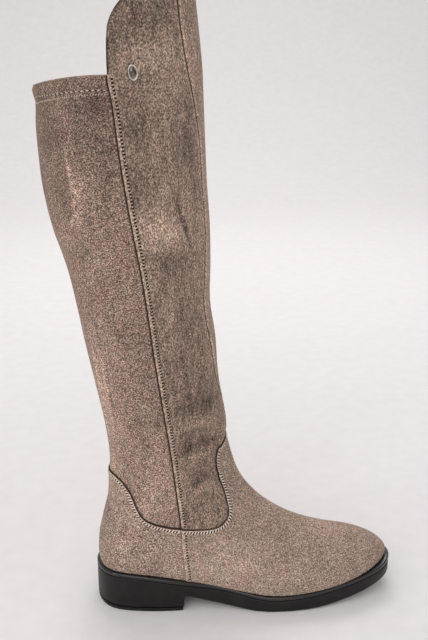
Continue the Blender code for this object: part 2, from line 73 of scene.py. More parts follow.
class Attribute(Enum):
    """Values that the upper's mesh carries for its finishes, by name."""
    # tone holds the nap's own tone and painted shade and highlight
    TONE = "tone"
    UNDER = "under_mm"
    SLIT = "slit_mm"


def linear(hex_colour: str) -> tuple[float, float, float, float]:
    """Turn an sRGB hex colour into linear values.

    Args:
        hex_colour: Colour such as "#8b776a".

    Returns:
        Red, green, blue and alpha.
    """
    channels = [int(hex_colour[i:i + 2], 16) / 255.0 for i in (1, 3, 5)]
    red, green, blue = (c / 12.92 if c <= 0.04045 else ((c + 0.055) / 1.055) ** 2.4 for c in channels)
    return red, green, blue, 1.0


def per_metre(size_mm: float) -> float:
    """Texture scale that gives a pattern of the given size."""
    return 1.0 / (size_mm * MM)


class Mottle(NamedTuple):
    """Sockets of a mottled pattern: its height and its colour."""
    height: bpy.types.NodeSocket
    colour: bpy.types.NodeSocket


class NodeSheet:
    """A new material with its Principled shader and the piece's own coordinates."""

    def __init__(self, name: str) -> None:
        """Start a material.

        Args:
            name: Name of the real material.
        """
        self.material = bpy.data.materials.new(name)
        self.material.use_nodes = True
        self.tree = self.material.node_tree
        self.shader = self.tree.nodes["Principled BSDF"]
        self.place = self.add("ShaderNodeTexCoord").outputs["Object"]

    def add(self, kind: str, settings: Optional[dict] = None,
            links: Optional[dict] = None) -> bpy.types.Node:
        """Add a node with its settings and links.

        Args:
            kind: Blender's name of the node.
            settings: Properties, input values by name or number, and ramp stops under "stops".
            links: Output sockets by the input that they feed.

        Returns:
            The new node.
        """
        node = self.tree.nodes.new(kind)
        for key, value in (settings or {}).items():
            if key == "stops":
                ramp = node.color_ramp.elements
                while len(ramp) < len(value):
                    ramp.new(1.0)
                for stop, (place, colour) in zip(ramp, value):
                    stop.position = place
                    stop.color = linear(colour)
            elif isinstance(key, str) and hasattr(node, key):
                setattr(node, key, value)
            else:
                node.inputs[key].default_value = value
        for key, socket in (links or {}).items():
            self.tree.links.new(socket, node.inputs[key])
        return node

    def mottle(self, size_mm: float, dark: str, light: str, span: Pair = (0.3, 0.7), detail: float = 2.0,
               roughness: float = 0.5, stretch: Point = (1.0, 1.0, 1.0)) -> Mottle:
        """Lay a soft mottle of two colours over the piece.

        Args:
            size_mm: Size of its spots.
            dark: Colour of its valleys.
            light: Colour of its crests.
            span: Heights from 0 to 1 where the two colours are reached.
            detail: How many finer layers it has.
            roughness: How strong the finer layers are.
            stretch: Scale along each axis; a spot is drawn out where it is below 1.

        Returns:
            The pattern's sockets.
        """
        lie = self.add("ShaderNodeMapping", {"Scale": stretch}, {"Vector": self.place})
        noise = self.add("ShaderNodeTexNoise",
                         {"Scale": per_metre(size_mm), "Detail": detail, "Roughness": roughness},
                         {"Vector": lie.outputs[0]})
        ramp = self.add("ShaderNodeValToRGB", {"stops": ((span[0], dark), (span[1], light))},
                        {"Fac": noise.outputs["Fac"]})
        return Mottle(noise.outputs["Fac"], ramp.outputs["Color"])

    def shade(self, settings: dict, links: dict) -> bpy.types.Material:
        """Set and link the Principled shader's own sockets.

        Args:
            settings: Values by socket name.
            links: Output sockets by socket name.

        Returns:
            The finished material.
        """
        for key, value in settings.items():
            self.shader.inputs[key].default_value = value
        for key, socket in links.items():
            self.tree.links.new(socket, self.shader.inputs[key])
        return self.material


class LineShadow(NamedTuple):
    """A dark line along a seam: where it starts and where it is full, in millimetres, and its depth."""
    edge: float
    core: float
    depth: float


@dataclass(frozen=True)
class Suede:
    """Microfibre suede, brushed: a short nap that lies lighter or darker where a hand has stroked it.

    The eye gets a matt surface with fine salt-and-pepper grain, soft brighter and darker clouds, strokes
    along the panel and a faint change between a rosy and an olive brown. The real fibres are far finer than
    the grain, which is drawn as coarse as it needs to show.
    """
    name: str
    dark: str
    middle: str
    light: str
    grain_mm: float = 1.0
    grain_share: float = 2.5
    grain_stretch: Point = (1.0, 1.0, 1.0)
    cloud_mm: float = 11.0
    cloud_share: float = 0.6
    stroke_mm: float = 2.8
    stroke_share: float = 0.5
    stroke_stretch: Point = (1.0, 1.0, 0.35)
    blush_mm: float = 16.0
    olive: str = "#fdfffa"
    rose: str = "#fff9f8"
    bump_mm: float = 0.3
    # Colour of the painted shadow beside laps and of the thin dark lines at the slit and the wing's rims
    line: str = "#1e1612"
    lap_shadow: LineShadow = LineShadow(1.8, 0.7, 0.95)
    slit_shadow: LineShadow = LineShadow(1.1, 0.4, 0.92)

    def build(self) -> bpy.types.Material:
        """Make the material, with painted shadow along the seams and the tones that the mesh carries, which
        hold painted shade and highlight besides the nap's own tone.

        Returns:
            The material.
        """
        sheet = NodeSheet(self.name)
        lie = sheet.add("ShaderNodeMapping", {"Scale": self.grain_stretch}, {"Vector": sheet.place})
        grain = sheet.add("ShaderNodeTexNoise", {"Scale": per_metre(self.grain_mm), "Detail": 1.0},
                          {"Vector": lie.outputs[0]})
        spread = sheet.add("ShaderNodeMath", {"operation": "MULTIPLY_ADD", 1: self.grain_share,
                                              2: 0.5 - 0.5 * self.grain_share}, {0: grain.outputs["Fac"]})
        nap = sheet.add("ShaderNodeValToRGB",
                        {"stops": ((0.0, self.dark), (0.5, self.middle), (1.0, self.light))},
                        {"Fac": spread.outputs[0]})
        blush = sheet.mottle(self.blush_mm, self.olive, self.rose, span=(0.35, 0.65))
        nap = sheet.add("ShaderNodeMix", {"data_type": "RGBA", "blend_type": "MULTIPLY", 0: 1.0},
                        {6: nap.outputs["Color"], 7: blush.colour})

        # Clouds, strokes and the mesh's tones make the nap brighter or darker as a whole; the mesh's tones
        # hold painted shade and highlight from creases, laps, the front seam and some patches besides the
        # nap's own tone
        along = sheet.add("ShaderNodeMapping", {"Scale": self.stroke_stretch}, {"Vector": sheet.place})
        cloud = sheet.add("ShaderNodeTexNoise",
                          {"Scale": per_metre(self.cloud_mm), "Detail": 3.0, "Roughness": 0.6},
                          {"Vector": along.outputs[0]})
        stroke = sheet.add("ShaderNodeTexNoise", {"Scale": per_metre(self.stroke_mm), "Detail": 2.0},
                           {"Vector": along.outputs[0]})
        tone = sheet.add("ShaderNodeAttribute", {"attribute_name": Attribute.TONE.value})
        value = sheet.add("ShaderNodeMath",
                          {"operation": "ADD", 1: 1.0 - 0.5 * (self.cloud_share + self.stroke_share)},
                          {0: tone.outputs["Fac"]})
        for noise, share in ((cloud, self.cloud_share), (stroke, self.stroke_share)):
            value = sheet.add("ShaderNodeMath", {"operation": "MULTIPLY_ADD", 1: share},
                              {0: noise.outputs["Fac"], 2: value.outputs[0]})
        colour = sheet.add("ShaderNodeVectorMath", {"operation": "SCALE"},
                           {0: nap.outputs[2], "Scale": value.outputs[0]}).outputs[0]

        # Painted shadow on the lower panel right beside a lap; a thin dark line in the front seam's slit,
        # painted shade there, and along the wing's rims
        shadows = []
        for attribute, line in ((Attribute.UNDER, self.lap_shadow), (Attribute.SLIT, self.slit_shadow)):
            gap = sheet.add("ShaderNodeAttribute", {"attribute_name": attribute.value})
            shadow = sheet.add("ShaderNodeMapRange",
                               {"From Min": line.edge, "From Max": line.core, "To Max": line.depth},
                               {"Value": gap.outputs["Fac"]})
            shadows.append(shadow.outputs[0])
        deeper = sheet.add("ShaderNodeMath", {"operation": "MAXIMUM"}, dict(enumerate(shadows)))
        colour = sheet.add("ShaderNodeMix", {"data_type": "RGBA", 7: linear(self.line)},
                           {0: deeper.outputs[0], 6: colour}).outputs[2]

        height = sheet.add("ShaderNodeMath", {"operation": "ADD"},
                           {0: grain.outputs["Fac"], 1: stroke.outputs["Fac"]})
        bump = sheet.add("ShaderNodeBump", {"Strength": 0.5, "Distance": self.bump_mm * MM},
                         {"Height": height.outputs[0]})
        return sheet.shade({"Roughness": 0.93, "Specular IOR Level": 0.15, "Sheen Weight": 0.18,
                            "Sheen Roughness": 0.5, "Sheen Tint": linear("#d9c8ba")},
                           {"Base Color": colour, "Normal": bump.outputs[0]})


@dataclass(frozen=True)
class PaintedShadeFibre:
    """Cut and folded edge of the suede in a lap's step, painted dark as the shadow in the step so that it
    reads as a dark line; the same dark fibre paints the shade in the needle holes.

    The real fibres are far finer; they are drawn as coarse as they need to show.
    """
    name: str = "suede edge shadow"
    dark: str = "#231a16"
    light: str = "#54443a"
    fibre_mm: float = 0.9

    def build(self) -> bpy.types.Material:
        """Make the material from short fibres.

        Returns:
            The material.
        """
        sheet = NodeSheet(self.name)
        fibre = sheet.mottle(self.fibre_mm, self.dark, self.light, span=(0.3, 0.75))
        return sheet.shade({"Roughness": 0.95, "Specular IOR Level": 0.1}, {"Base Color": fibre.colour})


@dataclass(frozen=True)
class KnitLining:
    """Warp-knit polyester lining: fine ribs up the leg and a soft, slightly silky face.

    The real ribs are finer; they are drawn as coarse as they need to show.
    """
    name: str = "knit lining"
    # Painted shade in the rib valleys and painted highlight on the crests
    valley_shade: str = "#7d6a5c"
    crest_highlight: str = "#b29c8a"
    rib_mm: float = 1.6
    rib_stretch: Point = (1.0, 1.0, 0.12)
    bump_mm: float = 0.3

    def build(self) -> bpy.types.Material:
        """Make the material from broken ribs.

        Returns:
            The material.
        """
        sheet = NodeSheet(self.name)
        # The ribs' height also sets their colour: painted shade in the valleys and painted highlight on the
        # crests
        rib = sheet.mottle(self.rib_mm, self.valley_shade, self.crest_highlight, detail=1.0, stretch=self.rib_stretch)
        bump = sheet.add("ShaderNodeBump", {"Strength": 0.5, "Distance": self.bump_mm * MM},
                         {"Height": rib.height})
        return sheet.shade({"Roughness": 0.8, "Sheen Weight": 0.2, "Sheen Roughness": 0.4},
                           {"Base Color": rib.colour, "Normal": bump.outputs[0]})


@dataclass(frozen=True)
class Rubber:
    """Moulded thermoplastic rubber: black with a satin skin, fine mould texture and a little dust.

    The real mould texture is finer; it is drawn as coarse as it needs to show.
    """
    name: str
    base: str
    dust: str
    roughness: float
    texture_mm: float = 0.9
    dust_mm: float = 14.0
    bump_mm: float = 0.08
    coat: float = 0.0
    specular: float = 0.35

    def build(self) -> bpy.types.Material:
        """Make the material from mould grain and patches of dust.

        Returns:
            The material.
        """
        sheet = NodeSheet(self.name)
        grain = sheet.add("ShaderNodeTexNoise", {"Scale": per_metre(self.texture_mm), "Detail": 2.0},
                          {"Vector": sheet.place})
        patch = sheet.mottle(self.dust_mm, self.base, self.dust, span=(0.42, 0.8), detail=4.0,
                             roughness=0.65)
        gloss = sheet.add("ShaderNodeMapRange",
                          {"To Min": self.roughness - 0.06, "To Max": self.roughness + 0.12},
                          {"Value": patch.height})
        bump = sheet.add("ShaderNodeBump", {"Strength": 0.5, "Distance": self.bump_mm * MM},
                         {"Height": grain.outputs["Fac"]})
        return sheet.shade({"IOR": 1.52, "Specular IOR Level": self.specular, "Coat Weight": self.coat,
                            "Coat Roughness": 0.12},
                           {"Base Color": patch.colour, "Roughness": gloss.outputs[0],
                            "Normal": bump.outputs[0]})


@dataclass(frozen=True)
class Thread:
    """Twisted polyester sewing thread: small plies with a soft shine.

    The real plies are finer; they are drawn as coarse as they need to show.
    """
    name: str
    dark: str
    light: str
    ply_mm: float = 0.7

    def build(self) -> bpy.types.Material:
        """Make the material from small plies.

        Returns:
            The material.
        """
        sheet = NodeSheet(self.name)
        ply = sheet.mottle(self.ply_mm, self.dark, self.light, detail=1.0)
        return sheet.shade({"Roughness": 0.6, "Sheen Weight": 0.15}, {"Base Color": ply.colour})


@dataclass(frozen=True)
class AgedNickel:
    """Die-cast zinc with an aged nickel plate: a warm grey metal, brighter where it is rubbed."""
    name: str
    shade: str
    rubbed: str
    roughness: float
    patch_mm: float = 2.2
    bump_mm: float = 0.05

    def build(self) -> bpy.types.Material:
        """Make the material from rubbed patches.

        Returns:
            The material.
        """
        sheet = NodeSheet(self.name)
        patch = sheet.mottle(self.patch_mm, self.shade, self.rubbed, span=(0.35, 0.7), detail=3.0)
        bump = sheet.add("ShaderNodeBump", {"Strength": 0.3, "Distance": self.bump_mm * MM},
                         {"Height": patch.height})
        return sheet.shade({"Metallic": 1.0, "Roughness": self.roughness},
                           {"Base Color": patch.colour, "Normal": bump.outputs[0]})


@dataclass(frozen=True)
class StudioPaper:
    """Seamless background paper: matt, pale and barely mottled."""
    name: str = "seamless paper"
    low: str = "#ece9e8"
    high: str = "#f0edec"
    fibre_mm: float = 18.0

    def build(self) -> bpy.types.Material:
        """Make the material from a very faint mottle.

        Returns:
            The material.
        """
        sheet = NodeSheet(self.name)
        fibre = sheet.mottle(self.fibre_mm, self.low, self.high, detail=4.0)
        return sheet.shade({"Roughness": 0.9, "Specular IOR Level": 0.1}, {"Base Color": fibre.colour})


def path_distance(points: np.ndarray, path: np.ndarray) -> tuple[np.ndarray, np.ndarray]:
    """Measure points against a path.

    Args:
        points: Points, with their three coordinates along the last axis.
        path: Corners of the path, one in a row.

    Returns:
        Distance of each point to the path, and the share of the path's length at the nearest place.
    """
    lengths = np.linalg.norm(np.diff(path, axis=0), axis=1)
    starts = np.concatenate([[0.0], np.cumsum(lengths)])
    nearest = np.full(points.shape[:-1], np.inf)
    share = np.zeros(points.shape[:-1])
    for start, end, before, length in zip(path, path[1:], starts, lengths):
        way = (end - start) / max(length, 1e-9)
        along = np.clip((points - start) @ way, 0.0, length)
        gap = np.linalg.norm(points - start - along[..., None] * way, axis=-1)
        closer = gap < nearest
        nearest[closer] = gap[closer]
        share[closer] = (before + along[closer]) / starts[-1]
    return nearest, share


def smooth_step(share: np.ndarray) -> np.ndarray:
    """Ease from 0 to 1, held outside that range."""
    share = np.clip(share, 0.0, 1.0)
    return share * share * (3.0 - 2.0 * share)


def unit(vectors: np.ndarray) -> np.ndarray:
    """The vectors at length 1."""
    return vectors / np.linalg.norm(vectors, axis=-1, keepdims=True)


def spline(knots: np.ndarray, values: np.ndarray, at: np.ndarray) -> np.ndarray:
    """Smooth curve through the knots, with slopes taken from the neighbouring knots.

    Args:
        knots: Places of the values, rising.
        values: Values at the knots.
        at: Places to read.

    Returns:
        The curve's values.
    """
    slopes = np.gradient(values, knots)
    at = np.clip(at, knots[0], knots[-1])
    left = np.clip(np.searchsorted(knots, at, side="right") - 1, 0, len(knots) - 2)
    span = knots[left + 1] - knots[left]
    part = (at - knots[left]) / span
    ease_in = part * (1.0 - part) ** 2 * span * slopes[left]
    ease_out = part * part * (part - 1.0) * span * slopes[left + 1]
    return values[left] + smooth_step(part) * (values[left + 1] - values[left]) + ease_in + ease_out


@dataclass(frozen=True)
class Bead:
    """A soft bead or groove along a line: how far off the line it is, its half width and its height."""
    away: float
    width: float
    height: float

    def at(self, gap: np.ndarray) -> np.ndarray:
        """Height at the given distances from the line."""
        return self.height * np.exp(-((gap - self.away) / self.width) ** 2)


@dataclass(frozen=True)
class Crease:
    """A soft trough or ridge along a path on the suede, in millimetres, whose tone paints shade into a
    trough and highlight onto a ridge.
    """
    path: tuple[Point, ...]
    width: float
    rise: float
    tone: float
    fade: float = 0.3

    def weight(self, points: np.ndarray) -> np.ndarray:
        """How much each point takes part: 1 on the path, 0 far from it and at its ends.

        Args:
            points: Points on the suede.

        Returns:
            The share of each point.
        """
        gap, share = path_distance(points, np.array(self.path, dtype=float))
        ends = smooth_step(np.minimum(share, 1.0 - share) / self.fade)
        return Bead(0.0, self.width, 1.0).at(gap) * ends


@dataclass(frozen=True)
class Patch:
    """A place where the suede is drawn lighter or darker and swells or sinks a little; some places are the
    nap's own tone, others painted light.
    """
    centre: Point
    reach: Point
    tone: float
    rise: float = 0.0

    def weight(self, points: np.ndarray) -> np.ndarray:
        """How much each point takes part, from 1 at the centre to 0 beyond the reach."""
        away = (points - np.array(self.centre)) / np.array(self.reach)
        return np.exp(-np.sum(away * away, axis=-1))


@dataclass
class SeamLine:
    """A line on the finished upper, with the surface's normal and the way into the panel at each point."""
    points: np.ndarray
    normals: np.ndarray
    inward: np.ndarray


# Creases and folds of the leg, as path, width, rise and tone; the tone is painted shade in each trough and
# painted highlight on each ridge
CREASES = (
    # Below the knee at the front
    Crease(((-38, -44, 380), (-40, -45, 362), (-36, -43, 347), (-32, -39, 336), (-29, -37, 321)),
           1.9, -2.2, -0.80),
    Crease(((-57, -54, 348), (-54, -53, 360), (-51, -52, 372), (-48, -51, 386)), 5.0, 0.6, 0.22),
    Crease(((-66, -56, 325), (-51, -51, 319), (-37, -43, 315), (-23, -29, 311)), 7.0, -1.2, -0.20),
    Crease(((-72, -60, 398), (-71, -59, 376), (-72, -58, 352)), 6.0, -0.4, -0.20),
    Crease(((-52, -47, 257), (-46, -46, 269), (-40, -44, 279)), 3.6, 0.7, 0.20),
    Crease(((-45, -44, 222), (-35, -40, 234), (-27, -35, 242)), 5.0, -0.6, -0.08),
    # Across the ankle at the front, from its outer to its inner side
    Crease(((-56, -43, 192), (-38, -40, 193), (-20, -29, 192), (-4, 0, 189)), 6.0, -1.2, -0.25),
    Crease(((-52, -41, 173), (-36, -38, 176), (-19, -29, 176), (-6, -14, 174)), 4.6, 1.5, 0.38),
    Crease(((-44, -39, 151), (-30, -35, 156), (-18, -28, 158), (-6, -17, 157)), 4.6, -1.8, -0.38),
    Crease(((-39, -38, 145), (-28, -34, 148), (-18, -28, 149), (-9, -21, 148)), 2.4, 1.3, 0.45),
    Crease(((-36, -36, 120), (-24, -32, 125), (-9, -21, 129)), 4.6, -1.8, -0.38),
    Crease(((-36, -35, 110), (-24, -32, 115), (-13, -25, 120)), 2.8, 1.3, 0.45),
    Crease(((-38, -35, 96), (-27, -33, 101), (-18, -28, 107)), 5.0, -0.8, -0.18),
    Crease(((-11, -23, 153), (-7, -18, 156), (-3, -12, 160), (-1, -7, 165)), 2.6, -1.6, -0.25),
    Crease(((-48, 40, 180), (-30, 36, 186), (-12, 22, 188)), 5.5, 1.2, 0.20),
    Crease(((-46, 39, 158), (-30, 35, 164), (-12, 24, 166)), 5.0, -1.5, -0.28),
    Crease(((-40, 37, 128), (-26, 33, 134), (-12, 24, 138)), 5.0, -1.2, -0.22),
    # Back panel below the hem and behind the knee
    Crease(((-122, -49, 412), (-122, -48, 400), (-120, -48, 387), (-118, -49, 377), (-112, -51, 363)),
           1.6, 1.1, 0.80),
    Crease(((-119, -48, 375), (-117, -47, 362), (-115, -47, 352), (-114, -46, 341)), 1.4, 0.9, 0.70),
    Crease(((-116, -47, 358), (-119, -44, 351), (-122, -39, 343)), 1.6, 1.0, 0.80),
    Crease(((-124, -47, 436), (-140, -30, 437), (-149, -8, 437), (-149, 10, 437), (-140, 30, 436)),
           12.0, -2.2, -0.08),
    Crease(((-126, -25, 317), (-115, -42, 327), (-102, -51, 332)), 5.0, -1.0, -0.14),
    Crease(((-97, -60, 426), (-94, -60, 420), (-90, -60, 413)), 2.0, 0.4, 0.20),
    Crease(((-134, 28, 372), (-136, 10, 366), (-134, -16, 362)), 6.0, -1.2, -0.16),
    Crease(((-126, 34, 330), (-130, 12, 322), (-127, -14, 326)), 6.0, -1.0, -0.14),
    # Down the back of the leg
    Crease(((-86, -33, 175), (-82, -35, 177), (-78, -38, 179)), 1.1, -0.5, -0.60),
    Crease(((-112, -27, 262), (-109, -25, 240), (-106, -22, 217), (-103, -19, 194), (-98, -11, 145)),
           1.6, 0.9, 0.50),
    Crease(((-106, -35, 267), (-103, -32, 243), (-100, -30, 218), (-98, -27, 195), (-94, -20, 147)),
           1.5, 0.8, 0.46),
    Crease(((-101, -35, 244), (-98, -32, 217), (-95, -28, 191), (-94, -24, 167)), 1.5, -0.8, -0.42),
    Crease(((-108, -35, 277), (-104, -34, 252), (-101, -32, 232)), 1.5, -0.8, -0.42),
    Crease(((-110, 12, 250), (-106, 10, 215), (-101, 8, 175), (-99, 6, 145)), 2.0, -0.7, -0.16),
    Crease(((-55, -35, 90), (-52, -34, 86), (-48, -35, 84)), 1.5, -0.5, -0.30),
)

# Places where the suede is drawn lighter or darker, as centre, reach, tone and rise: mostly the nap's own
# tone, with painted highlight on the bulge below the knee, along the lower back edge of the leg and on top
# of the toe and instep
PATCHES = (
    # Front panel and wing
    Patch((-55, -50, 506), (60, 80, 24), -0.26),
    Patch((-50, -52, 388), (24, 20, 20), -0.12),
    Patch((-60, -57, 468), (18, 20, 18), 0.26),
    Patch((-57, -56, 442), (10, 12, 8), 0.22),
    Patch((-74, -61, 420), (7, 12, 8), -0.20),
    Patch((-61, -58, 418), (6, 12, 8), -0.12),
    Patch((-33, -38, 406), (9, 12, 12), -0.22),
    Patch((-52, -52, 342), (15, 16, 14), 0.70, 1.8),
    Patch((-34, -40, 185), (34, 36, 85), -0.22),
    Patch((-38, -42, 460), (9, 12, 18), 0.30),
    Patch((-22, -27, 339), (6, 8, 14), 0.40),
    Patch((-52, -53, 404), (6, 10, 9), 0.34),
    Patch((-73, -61, 485), (8, 10, 10), -0.34),
    Patch((-73, -60, 404), (7, 10, 12), -0.30),
    Patch((-29, -35, 174), (9, 8, 5), -0.30),
    Patch((-67, -57, 362), (7, 10, 9), -0.20),
    Patch((-55, -50, 290), (8, 10, 18), -0.18),
    Patch((-34, -35, 118), (8, 8, 8), -0.16),
    Patch((-4, -14, 158), (6, 8, 10), 0.26),
    # Back panel
    Patch((-110, -40, 435), (60, 80, 42), -0.31),
    Patch((-99, -60, 437), (15, 16, 9), -0.20),
    Patch((-94, -60, 405), (8, 14, 10), -0.16),
    Patch((-136, -35, 411), (9, 14, 14), -0.22),
    Patch((-126, -41, 367), (9, 12, 20), -0.25),
    Patch((-114, -51, 374), (9, 12, 14), 0.22),
    Patch((-102, -22, 200), (14, 20, 75), 0.46),
    Patch((-57, -42, 181), (3, 6, 3), -0.35),
    Patch((-58, -36, 122), (20, 20, 30), 0.42),
    Patch((-72, -33, 98), (12, 10, 9), 0.30),
    Patch((-97, -15, 134), (7, 12, 14), 0.34),
    Patch((-57, -41, 168), (7, 8, 20), 0.24),
    Patch((-126, -47, 430), (9, 10, 9), 0.26),
    Patch((-88, -30, 169), (9, 10, 12), 0.24),
    Patch((-125, -33, 336), (10, 12, 14), 0.20),
    Patch((-143, -14, 374), (5, 14, 18), -0.32),
    Patch((-92, -59, 386), (7, 10, 18), -0.24),
    Patch((-81, -47, 258), (7, 8, 9), -0.24),
    # Foot
    Patch((0, -40, 45), (40, 25, 22), 0.26),
    Patch((60, -30, 70), (25, 40, 20), -0.08),
    Patch((100, -20, 62), (18, 30, 14), 0.10),
    Patch((-104, -20, 70), (12, 25, 25), -0.08),
    Patch((-103, -7, 92), (10, 16, 14), -0.34),
    Patch((45, 1, 82), (17, 14, 13), 0.20),
    Patch((85, -3, 63), (26, 14, 10), 0.26),
    Patch((-66, -34, 48), (9, 10, 9), -0.18),
    Patch((8, -16, 99), (8, 10, 8), -0.15),
)


class Ring(NamedTuple):
    """One closed section of the last: its back, side and front, and four half widths on the way."""
    name: str
    back_x: float
    back_z: float
    side_x: float
    side_z: float
    front_x: float
    front_z: float
    rear: float
    middle: float
    fore: float
    tip: float
    roll: float


RINGS = (
    Ring("feather line", 4.0, 36.5, 78.5, 28.6, 258.6, 28.8, 29.8, 31.4, 40.4, 28.6, 0.0),
    Ring("foot wall", 2.8, 43.0, 78.2, 33.4, 259.6, 34.6, 31.4, 32.2, 41.4, 29.2, 0.0),
    Ring("toe wall", 2.8, 50.0, 77.8, 38.0, 254.8, 40.8, 31.6, 32.4, 41.2, 28.4, 0.0),
    Ring("toe cap", 3.4, 57.0, 77.2, 43.0, 245.2, 47.6, 31.4, 32.6, 40.0, 27.0, 0.0),
    Ring("toe box", 4.2, 64.0, 76.8, 48.0, 229.2, 54.2, 30.8, 32.8, 37.8, 24.6, 0.0),
    Ring("ball", 6.0, 71.5, 76.2, 53.0, 205.4, 60.0, 30.0, 32.8, 35.0, 22.2, 0.0),
    Ring("vamp", 8.0, 80.0, 75.8, 58.5, 178.0, 69.4, 29.0, 32.8, 33.0, 20.6, 0.0),
    Ring("waist", 10.4, 89.0, 75.2, 64.0, 155.8, 82.0, 27.5, 32.8, 32.0, 20.0, 0.0),
    Ring("instep", 12.4, 98.0, 75.2, 69.5, 138.2, 97.0, 26.0, 32.8, 32.0, 20.0, 0.0),
    Ring("throat", 13.4, 108.0, 74.8, 74.8, 123.8, 118.0, 24.5, 33.0, 32.4, 20.0, 0.0),
    Ring("vamp edge", 13.6, 119.0, 74.5, 80.0, 113.8, 152.0, 23.4, 33.4, 33.2, 20.8, 0.0),
    Ring("ankle", 14.4, 133.0, 73.2, 93.0, 114.2, 162.0, 23.0, 34.2, 34.2, 21.6, 0.0),
    Ring("low leg", 13.4, 151.0, 70.2, 120.0, 113.4, 173.0, 23.4, 35.6, 35.6, 22.4, 0.0),
    Ring("leg 170", 10.2, 174.0, 66.2, 154.0, 110.4, 189.0, 24.6, 38.0, 38.0, 23.8, 0.0),
    Ring("leg 205", 4.2, 205.0, 60.3, 196.0, 107.0, 213.0, 26.6, 41.6, 41.4, 25.8, 0.0),
    Ring("leg 240", -2.6, 240.0, 54.8, 236.0, 105.0, 243.0, 28.8, 45.4, 45.0, 27.8, 0.0),
    Ring("leg 272", -8.0, 272.0, 50.6, 272.0, 100.6, 274.0, 30.8, 48.8, 48.2, 29.6, 0.0),
    Ring("leg 305", -14.6, 305.0, 46.2, 306.0, 101.0, 307.0, 32.8, 52.0, 51.2, 31.4, 0.0),
    Ring("leg 337", -24.2, 337.0, 40.9, 338.0, 100.4, 339.0, 34.6, 54.8, 53.8, 33.0, 0.5),
    Ring("leg 368", -30.2, 368.0, 35.8, 370.0, 98.2, 372.0, 36.0, 57.0, 55.8, 34.2, 1.5),
    Ring("leg 400", -32.6, 399.0, 31.4, 402.0, 96.9, 405.0, 37.0, 58.6, 57.2, 35.0, 3.0),
    Ring("leg 430", -33.8, 426.0, 28.2, 431.0, 95.8, 436.0, 37.6, 59.6, 58.2, 35.6, 4.2),
    Ring("hem", -36.2, 446.5, 24.6, 453.5, 94.8, 461.0, 38.0, 60.2, 58.8, 36.0, 5.0),
    Ring("wing", -37.2, 478.0, 24.8, 486.0, 91.8, 493.0, 38.0, 60.2, 58.8, 36.0, 5.0),
    Ring("wing top", -38.2, 508.0, 26.0, 516.0, 88.4, 523.0, 37.6, 59.6, 58.2, 35.6, 5.0),
)


